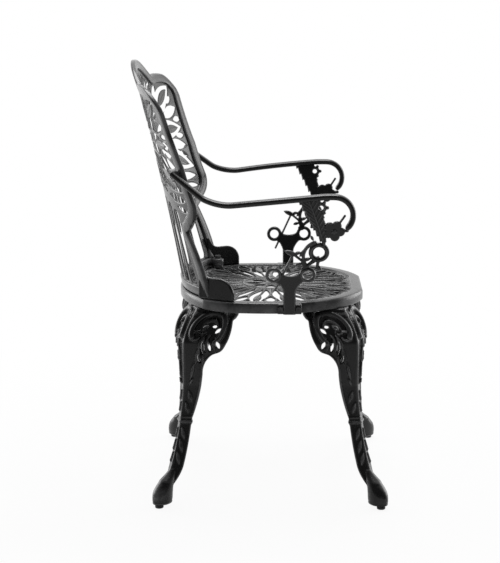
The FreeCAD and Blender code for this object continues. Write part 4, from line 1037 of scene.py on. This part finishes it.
shaft_leaves = [((10, 236), (19, 210), 9.0), ((6, 212), (14, 188), 8.0), ((4, 160), (14, 134), 8.0),
                ((4, 136), (15, 108), 8.0), ((4, 110), (15, 84), 8.0)]
print("%d curls and %d leaves on a web" % (len(scroll_curls), len(knee_leaves + shaft_leaves)))


def leg_field(s, z):
    t = np.abs(s)
    edge = t - web_width(z)
    metal = np.maximum(edge, np.maximum(z - HEAD_Z, 34 - z))
    for start, end, width in knee_holes:
        metal = np.maximum(metal, -leaf(t, z, start, end, width))
    return metal


def leg_face(s, z, depth):
    t = np.abs(s)
    height = np.zeros(np.shape(s))
    for centre, radius, width, start, end, tall in scroll_curls:
        rise = bead(curl(t, z, centre, radius, width, start, end), width / 2)
        height = np.maximum(height, rise * tall * 2 / width)
    for start, end, width in knee_leaves + shaft_leaves:
        inside = leaf(t, z, start, end, width)
        rib = bead(bar(t, z, start, end, 2.2, 1.2), 1.1)
        tall = 4.8 if start[1] > 245 else 3.0
        height = np.maximum(height, np.where(inside < 0, np.minimum(-inside * 2.2, tall) + rib * 0.9, 0))
    collar = bead(np.abs(z - 170.5) - 3.2, 3.2) * 0.8 + bead(np.abs(z - 180) - 1.6, 1.6) * 0.7
    border = bead(np.abs(t - web_width(z) + 3.2) - 1.5, 1.5) * 0.8
    border = np.where((z > 186) & (z < 318), border, 0)
    lip = bead(np.abs(z - HEAD_Z + 9) - 8, 8) * 0.25
    crown = np.clip(1 - (t / 6.0) ** 2, 0, 1) * 0.8 * np.clip((340 - z) / 30, 0, 1)
    return np.maximum.reduce([height, collar, border, lip, crown]) - edge_round(depth, 1.8)


# %% [markdown]
# A level plate closes the top between the webs, and the two bolts from below pass through it. It
# is five corners carried through three levels, the lowest a little smaller for a soft lower edge.

# %% Head plate
HEAD_PLATE = 8.0


def head_plate():
    """Level plate between the webs, with rounded corners."""
    wall = WEB / math.sin(HALF_ANGLE)
    width = 80.0
    x, y = HEAD - wall / 2 - width * math.cos(HALF_ANGLE), width * math.sin(HALF_ANGLE)
    corners = [(HEAD - wall / 2, 0), (x, y), (x - 4, y - 4), (x - 4, 4 - y), (x, -y)]
    low, high = HEAD_Z - HEAD_PLATE, HEAD_Z - 0.4
    rows = [(0.97, low), (1.0, low + 1.2), (1.0, high)]
    middle = np.mean(corners, axis=0)
    points = [(*(middle + (np.array(c) - middle) * grow), z) for grow, z in rows for c in corners]
    return np.array(points), flipped(capped_faces(len(rows), len(corners)))


print("head plate: %d faces" % len(head_plate()[1]))


# %% [markdown]
# The hoof is a solid foot with toes in front and a blind bore for the glide's stud. It is built of
# level rings of points that swell and narrow. A subdivided cage would round the mouth of the bore,
# and rings keep it crisp.

# %% Hoof
BORE = 4.15
FOOT_BASE = 8.0
BORE_TOP = 36.0
HOOF_TOP = 81.0
hoof_rows = [(FOOT_BASE, 335, 20.8, 15.4), (9, 335, 22.6, 16.9), (11.5, 335, 23.2, 17.5),
             (12.6, 335, 22.4, 16.9), (16, 335, 23.7, 17.8), (22, 334.8, 24, 18), (29, 334, 23.6, 17.9),
             (36, 332, 22.4, 17.4), (43, 328.4, 19.9, 16.2), (48, 325.2, 17.8, 15.2),
             (51, 323, 16.8, 14.8), (53, 321.4, 17.2, 15.1), (56, 318.8, 15.8, 14),
             (60, 315, 13.3, 12.4), (66, 309, 10.8, 10.2), (73, 303.5, 8.3, 8), (80, 299, 6.5, 6)]


def hoof(steps=56):
    """Rounded foot with toes in front, from the bore's blind end out and up to its top."""
    turns = [2 * math.pi * i / steps for i in range(steps)]

    def level_ring(middle, radius, z):
        return [(middle + radius * math.cos(a), radius * math.sin(a), z) for a in turns]

    bore = ((0.01, BORE_TOP), (BORE, BORE_TOP), (BORE, FOOT_BASE))
    rings = [level_ring(FOOT, radius, z) for radius, z in bore]
    for z, middle, radial, sideways in hoof_rows:
        toes = 0.05 * max(0.0, 1 - abs(z - 24) / 20)
        row = []
        for a in turns:
            grow = 1 + toes * (abs(math.cos(2.5 * a)) - 0.6) * max(0.0, math.cos(a))
            row.append((middle + radial * grow * math.cos(a), sideways * grow * math.sin(a), z))
        rings.append(row)
    rings.append(level_ring(298.5, 0.01, HOOF_TOP))
    points = np.array([p for row in rings for p in row])
    return points, flipped(grid_faces(len(rings), steps, round_rows=False))


print("hoof: %d rings" % (len(hoof_rows) + 4))

# %% [markdown]
# The four legs come from one pattern, as castings do, so one leg is made and turned about a
# vertical axis into its four places.

# %% Legs
LEG_CELL = 1.15
web_part = relief(leg_field, leg_face, lambda s, z, d: -WEB + edge_round(d, 1.6),
                  (-96, 34), (96, HEAD_Z), LEG_CELL, on_leg)
leg_points, leg_faces = merge(web_part, head_plate(), hoof())
legs = {}
for word, degrees in LEG_TURN.items():
    c, s = math.cos(math.radians(degrees)), math.sin(math.radians(degrees))
    x, y, z = leg_points.T
    placed = np.stack([x * c - y * s, x * s + y * c + LEG_CENTRE_Y, z], 1)
    legs[word] = solid(word + "_leg_casting", placed, leg_faces)
    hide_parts(word + "_leg")

# %% [markdown]
# The finish is one coat of black powder: it levels into a fine orange peel, pools a little in the
# hollows, and wears thin on sharp edges and where hands and cushions rub. The pale colour on sharp
# edges is also a painted highlight for the glints that the edges catch. A small class wraps a
# socket, so that shader maths reads as plain expressions.

# %% Material helpers


class Value:
    """One socket of a node tree, with arithmetic that adds Math nodes."""

    def __init__(self, tree, socket):
        self.tree, self.socket = tree, socket

    def node(self, kind, out=0, settings=None, **inputs):
        """Adds a node: settings first, then its sockets by name or number, and wraps an output."""
        made = self.tree.nodes.new(kind)
        for key, value in (settings or {}).items():
            setattr(made, key, value)
        for key, value in inputs.items():
            socket = made.inputs[int(key[1:]) if key[0] == "_" else key.replace("_", " ")]
            if isinstance(value, Value):
                self.tree.links.new(value.socket, socket)
            else:
                socket.default_value = value
        return Value(self.tree, made.outputs[out])

    def maths(self, operation, *values):
        numbered = {"_%d" % i: value for i, value in enumerate(values)}
        return self.node("ShaderNodeMath", settings={"operation": operation}, **numbered)

    def __add__(self, other): return self.maths("ADD", self, other)
    def __radd__(self, other): return self.maths("ADD", other, self)
    def __sub__(self, other): return self.maths("SUBTRACT", self, other)
    def __rsub__(self, other): return self.maths("SUBTRACT", other, self)
    def __mul__(self, other): return self.maths("MULTIPLY", self, other)
    def __rmul__(self, other): return self.maths("MULTIPLY", other, self)

    def between(self, low, high):
        """0 below low, 1 above high, eased between."""
        return self.node("ShaderNodeMapRange", settings={"interpolation_type": "SMOOTHSTEP"},
                         Value=self, From_Min=low, From_Max=high)

    def mix(self, first, second):
        """A colour between two, by this value."""
        return self.node("ShaderNodeMix", out=2, settings={"data_type": "RGBA"},
                         _0=self, _6=first, _7=second)


def new_material(name):
    """An empty material: its shader, and a Value to start expressions from."""
    material = bpy.data.materials.new(name)
    material.use_nodes = True
    shader = material.node_tree.nodes["Principled BSDF"]
    return material, shader, Value(material.node_tree, None)


def feed(shader, name, value):
    value.tree.links.new(value.socket, shader.inputs[name])


def noise(place, scale, detail, roughness=0.5):
    """Soft grain of a size, as a number about 0.5."""
    return place.node("ShaderNodeTexNoise", Vector=place, Scale=scale, Detail=detail,
                      Roughness=roughness)


def grey(level):
    return level, level, level, 1


print("shader expressions add their own Math nodes")

# %% [markdown]
# The castings and their fasteners wear the same coat, a little rougher on the fasteners. Where the
# mesh is sharp the coat is worn and paler, which is partly wear and partly a painted highlight for
# the glints on the edges; where it is hollow it is dull, and two fine noises give the orange peel.
# Painted masks would need an unwrapped surface, while pointiness follows the shape.

# %% Coated castings
OBJECT_PLACE = 3
POINTINESS = 7


def coated_material(name, base, roughness, peel):
    material, shader, start = new_material(name)
    place = start.node("ShaderNodeTexCoord", out=OBJECT_PLACE)
    shader.inputs["Coat Roughness"].default_value = 0.15
    shader.inputs["Coat Weight"].default_value = 0.15
    shader.inputs["Specular IOR Level"].default_value = 0.36
    cloud = noise(place, 14.0, 4.0, 0.6)
    speck, grain = noise(place, 420.0, 2.0), noise(place, 900.0, 1.0)
    sharp = start.node("ShaderNodeNewGeometry", out=POINTINESS)
    # sharp edges: the coat worn thin, and paler there as a painted highlight for the edges' glints
    wear_and_glint = sharp.between(0.506, 0.535) * cloud.between(0.34, 0.60)
    hollow = 1 - sharp.between(0.40, 0.485)
    black = cloud.mix((base * 0.8, base * 0.8, base * 0.84, 1),
                      (base * 1.25, base * 1.25, base * 1.28, 1))
    dusty = (hollow * 0.5).mix(black, (base * 2.0, base * 1.95, base * 1.8, 1))
    # the pale edge colour: partly bare metal, partly a painted highlight
    bare_and_glint_colour = (base * 17.0, base * 17.0, base * 17.3, 1)
    feed(shader, "Base Color", (wear_and_glint * 0.8).mix(dusty, bare_and_glint_colour))
    patchy = roughness + 0.10 * (cloud - 0.5) + 0.06 * (speck - 0.5)
    feed(shader, "Roughness", patchy + 0.10 * hollow - 0.05 * wear_and_glint)
    height = speck * 0.7 + grain * 0.3
    feed(shader, "Normal", start.node("ShaderNodeBump", Height=height, Strength=peel, Distance=0.0004))
    return material


casting_black = coated_material("coated_casting", 0.006, 0.27, 0.30)
fastener_black = coated_material("coated_fastener", 0.008, 0.30, 0.15)
print("made", casting_black.name, "and", fastener_black.name)

# %% [markdown]
# Each glide is a moulded pad on a plated stud. The pad is matt with pale scuffs, and the stud is
# bright metal with the thread as a fine wave in the bump, since the real thread is too small to
# be worth its faces.

# %% Glides


def moulded_material():
    material, shader, start = new_material("moulded_pad")
    place = start.node("ShaderNodeTexCoord", out=OBJECT_PLACE)
    speck, scuff = noise(place, 600.0, 2.0), noise(place, 60.0, 5.0).between(0.55, 0.75)
    feed(shader, "Base Color", (scuff * 0.5).mix((0.03, 0.03, 0.032, 1), grey(0.11)))
    feed(shader, "Roughness", 0.55 + 0.2 * scuff)
    feed(shader, "Normal", start.node("ShaderNodeBump", Height=speck, Strength=0.3, Distance=0.0003))
    return material


def plated_material():
    material, shader, start = new_material("plated_steel")
    place = start.node("ShaderNodeTexCoord", out=OBJECT_PLACE)
    shader.inputs["Metallic"].default_value = 1.0
    cloud = noise(place, 90.0, 3.0)
    thread = start.node("ShaderNodeTexWave", settings={"bands_direction": "Z"},
                        Vector=place, Scale=130.0)
    feed(shader, "Base Color", cloud.mix((0.52, 0.53, 0.55, 1), (0.68, 0.68, 0.66, 1)))
    feed(shader, "Roughness", 0.28 + 0.15 * cloud)
    feed(shader, "Normal", start.node("ShaderNodeBump", Height=thread, Strength=0.8, Distance=0.0008))
    return material


pad_black, stud_zinc = moulded_material(), plated_material()
print("made", pad_black.name, "and", stud_zinc.name)

# %% [markdown]
# Now each piece gets its finish. The castings drawn here take the black coat and ride with the
# frame. The fasteners, pads and studs are the CAD's own, and only their materials change.

# %% Finishes on the pieces


def dress(piece, material):
    piece.data.materials.clear()
    piece.data.materials.append(material)


for piece in [seat, back, *arms.values(), *legs.values()]:
    dress(piece, casting_black)
    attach(piece, "frame")

for node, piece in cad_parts.items():
    if node.startswith("glide_pad"):
        finish = pad_black
    elif node.startswith("glide_stud"):
        finish = stud_zinc
    else:
        finish = fastener_black
    for slot in piece.material_slots:
        slot.material = finish
print("%d nodes in the frame" % len(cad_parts))

# %% [markdown]
# The photograph has a white studio: light comes from large soft boxes in front of and behind the
# chair and from above, while the camera's own side stays dark, so the flanks of the castings read
# black and their edges read light grey. The floor keeps only the soft shadow under the feet.

# %% Studio


def soft_box(name, position, target, width, height, power):
    lamp = bpy.data.lights.new(name, "AREA")
    lamp.shape, lamp.size, lamp.size_y, lamp.energy = "RECTANGLE", width, height, power
    holder = bpy.data.objects.new(name, lamp)
    holder.location = position
    holder.rotation_euler = (Vector(target) - Vector(position)).to_track_quat("-Z", "Y").to_euler()
    bpy.context.collection.objects.link(holder)


SIDE_WATTS = 28
soft_box("box_above", (0.5, 0.0, 2.6), (0, 0, 0.4), 1.2, 1.6, 42)
soft_box("box_front", (1.3, -2.3, 0.9), (0, 0, 0.6), 1.8, 1.8, SIDE_WATTS)
soft_box("box_rear", (1.3, 2.3, 0.9), (0, 0, 0.6), 1.8, 1.8, SIDE_WATTS)
print("soft boxes stand before, behind and above the chair")

# %% [markdown]
# The photograph's ground is a bright white without a horizon. In what the coat mirrors, the room
# is bright beyond the chair and dim on the camera's side, and for the camera it is plain white.
# The boxes light the chair, so the air that shines on it is much dimmer than the air that is seen.

# %% Studio air


def shown_white(start):
    """1 for the rays that show the background: straight from the camera, mirrored or refracted."""
    camera_ray, glossy, through = (start.node("ShaderNodeLightPath", out="Is %s Ray" % name)
                                   for name in ("Camera", "Glossy", "Transmission"))
    return camera_ray + (1 - camera_ray) * (glossy + (1 - glossy) * through)


world = bpy.data.worlds.new("studio_air")
bpy.context.scene.world = world
world.use_nodes = True
air = Value(world.node_tree, None)
shade = world.node_tree.nodes["Background"]
compass = air.node("ShaderNodeSeparateXYZ", Vector=air.node("ShaderNodeTexCoord", out=0))
direct = air.node("ShaderNodeLightPath", out="Is Camera Ray")
room = compass.between(-0.45, 0.25).mix(grey(0.10), grey(1))
shown = direct.mix(room, grey(1))
world.node_tree.links.new(shown_white(air).mix(grey(0.30), shown).socket, shade.inputs["Color"])
shade.inputs["Strength"].default_value = 1.0
print("world:", world.name)

# %% [markdown]
# The floor is white and nearly melts into the ground behind it, with only the soft shadow of the
# feet left. A shadow catcher would be lost from what the coat mirrors, so the paint is mixed with
# a glow: strong for the camera, and for mirrored rays only beyond the chair.

# %% Floor
FLOOR_HALF = 30000
floor_points = [(x * FLOOR_HALF, y * FLOOR_HALF, 0) for x, y in ((-1, -1), (1, -1), (1, 1), (-1, 1))]
floor = solid("studio_floor", floor_points, [(0, 1, 2, 3)])
floor_paint, floor_shader, start = new_material("floor_paint")
place = start.node("ShaderNodeTexCoord", out=OBJECT_PLACE)
feed(floor_shader, "Base Color", noise(place, 30.0, 2.0).mix(grey(0.80), grey(0.82)))
floor_shader.inputs["Roughness"].default_value = 0.6
glow = start.node("ShaderNodeEmission", Color=grey(1), Strength=1.0)
far = start.node("ShaderNodeVectorMath", out=1, settings={"operation": "LENGTH"}, Vector=place)
far = far.between(0.5, 1.3)
beyond = start.node("ShaderNodeSeparateXYZ", Vector=place).between(-0.4, 0.4)
direct = start.node("ShaderNodeLightPath", out="Is Camera Ray")
share = direct * (0.92 + 0.08 * far) + (shown_white(start) - direct) * beyond
painted = Value(start.tree, floor_shader.outputs[0])
mixed = start.node("ShaderNodeMixShader", _0=share, _1=painted, _2=glow)
output = next(n for n in floor_paint.node_tree.nodes if n.type == "OUTPUT_MATERIAL")
floor_paint.node_tree.links.new(mixed.socket, output.inputs["Surface"])
dress(floor, floor_paint)
bpy.context.scene.view_settings.view_transform = "Standard"

# %% [markdown]
# The camera stands to the right of the chair, a little above the back, and looks slightly down.
# Its focal length follows from how many pixels wide the frame is, and the rest of its place was
# fitted to the four feet, the seat's outline and the two arms.

# %% Camera
FRAME_WIDTH_PX = 500
FOCAL_PX = 1628.0
CAMERA_YAW, CAMERA_PITCH = 0.017, 0.194
CAMERA_AWAY, CAMERA_UP = 3.454, 1.103
camera = bpy.data.cameras.new("studio_camera")
camera.sensor_fit = "HORIZONTAL"
camera.sensor_width = 36.0
camera.lens = FOCAL_PX / FRAME_WIDTH_PX * camera.sensor_width
camera_holder = bpy.data.objects.new("studio_camera", camera)
camera_holder.location = (-CAMERA_AWAY, WIDE_Y * MM, CAMERA_UP)
level = math.cos(CAMERA_PITCH)
gaze = Vector((level * math.cos(CAMERA_YAW), level * math.sin(CAMERA_YAW), -math.sin(CAMERA_PITCH)))
camera_holder.rotation_euler = gaze.to_track_quat("-Z", "Y").to_euler()
bpy.context.collection.objects.link(camera_holder)
bpy.context.scene.camera = camera_holder
print("focal length %.1f mm on a 36 mm frame" % camera.lens)
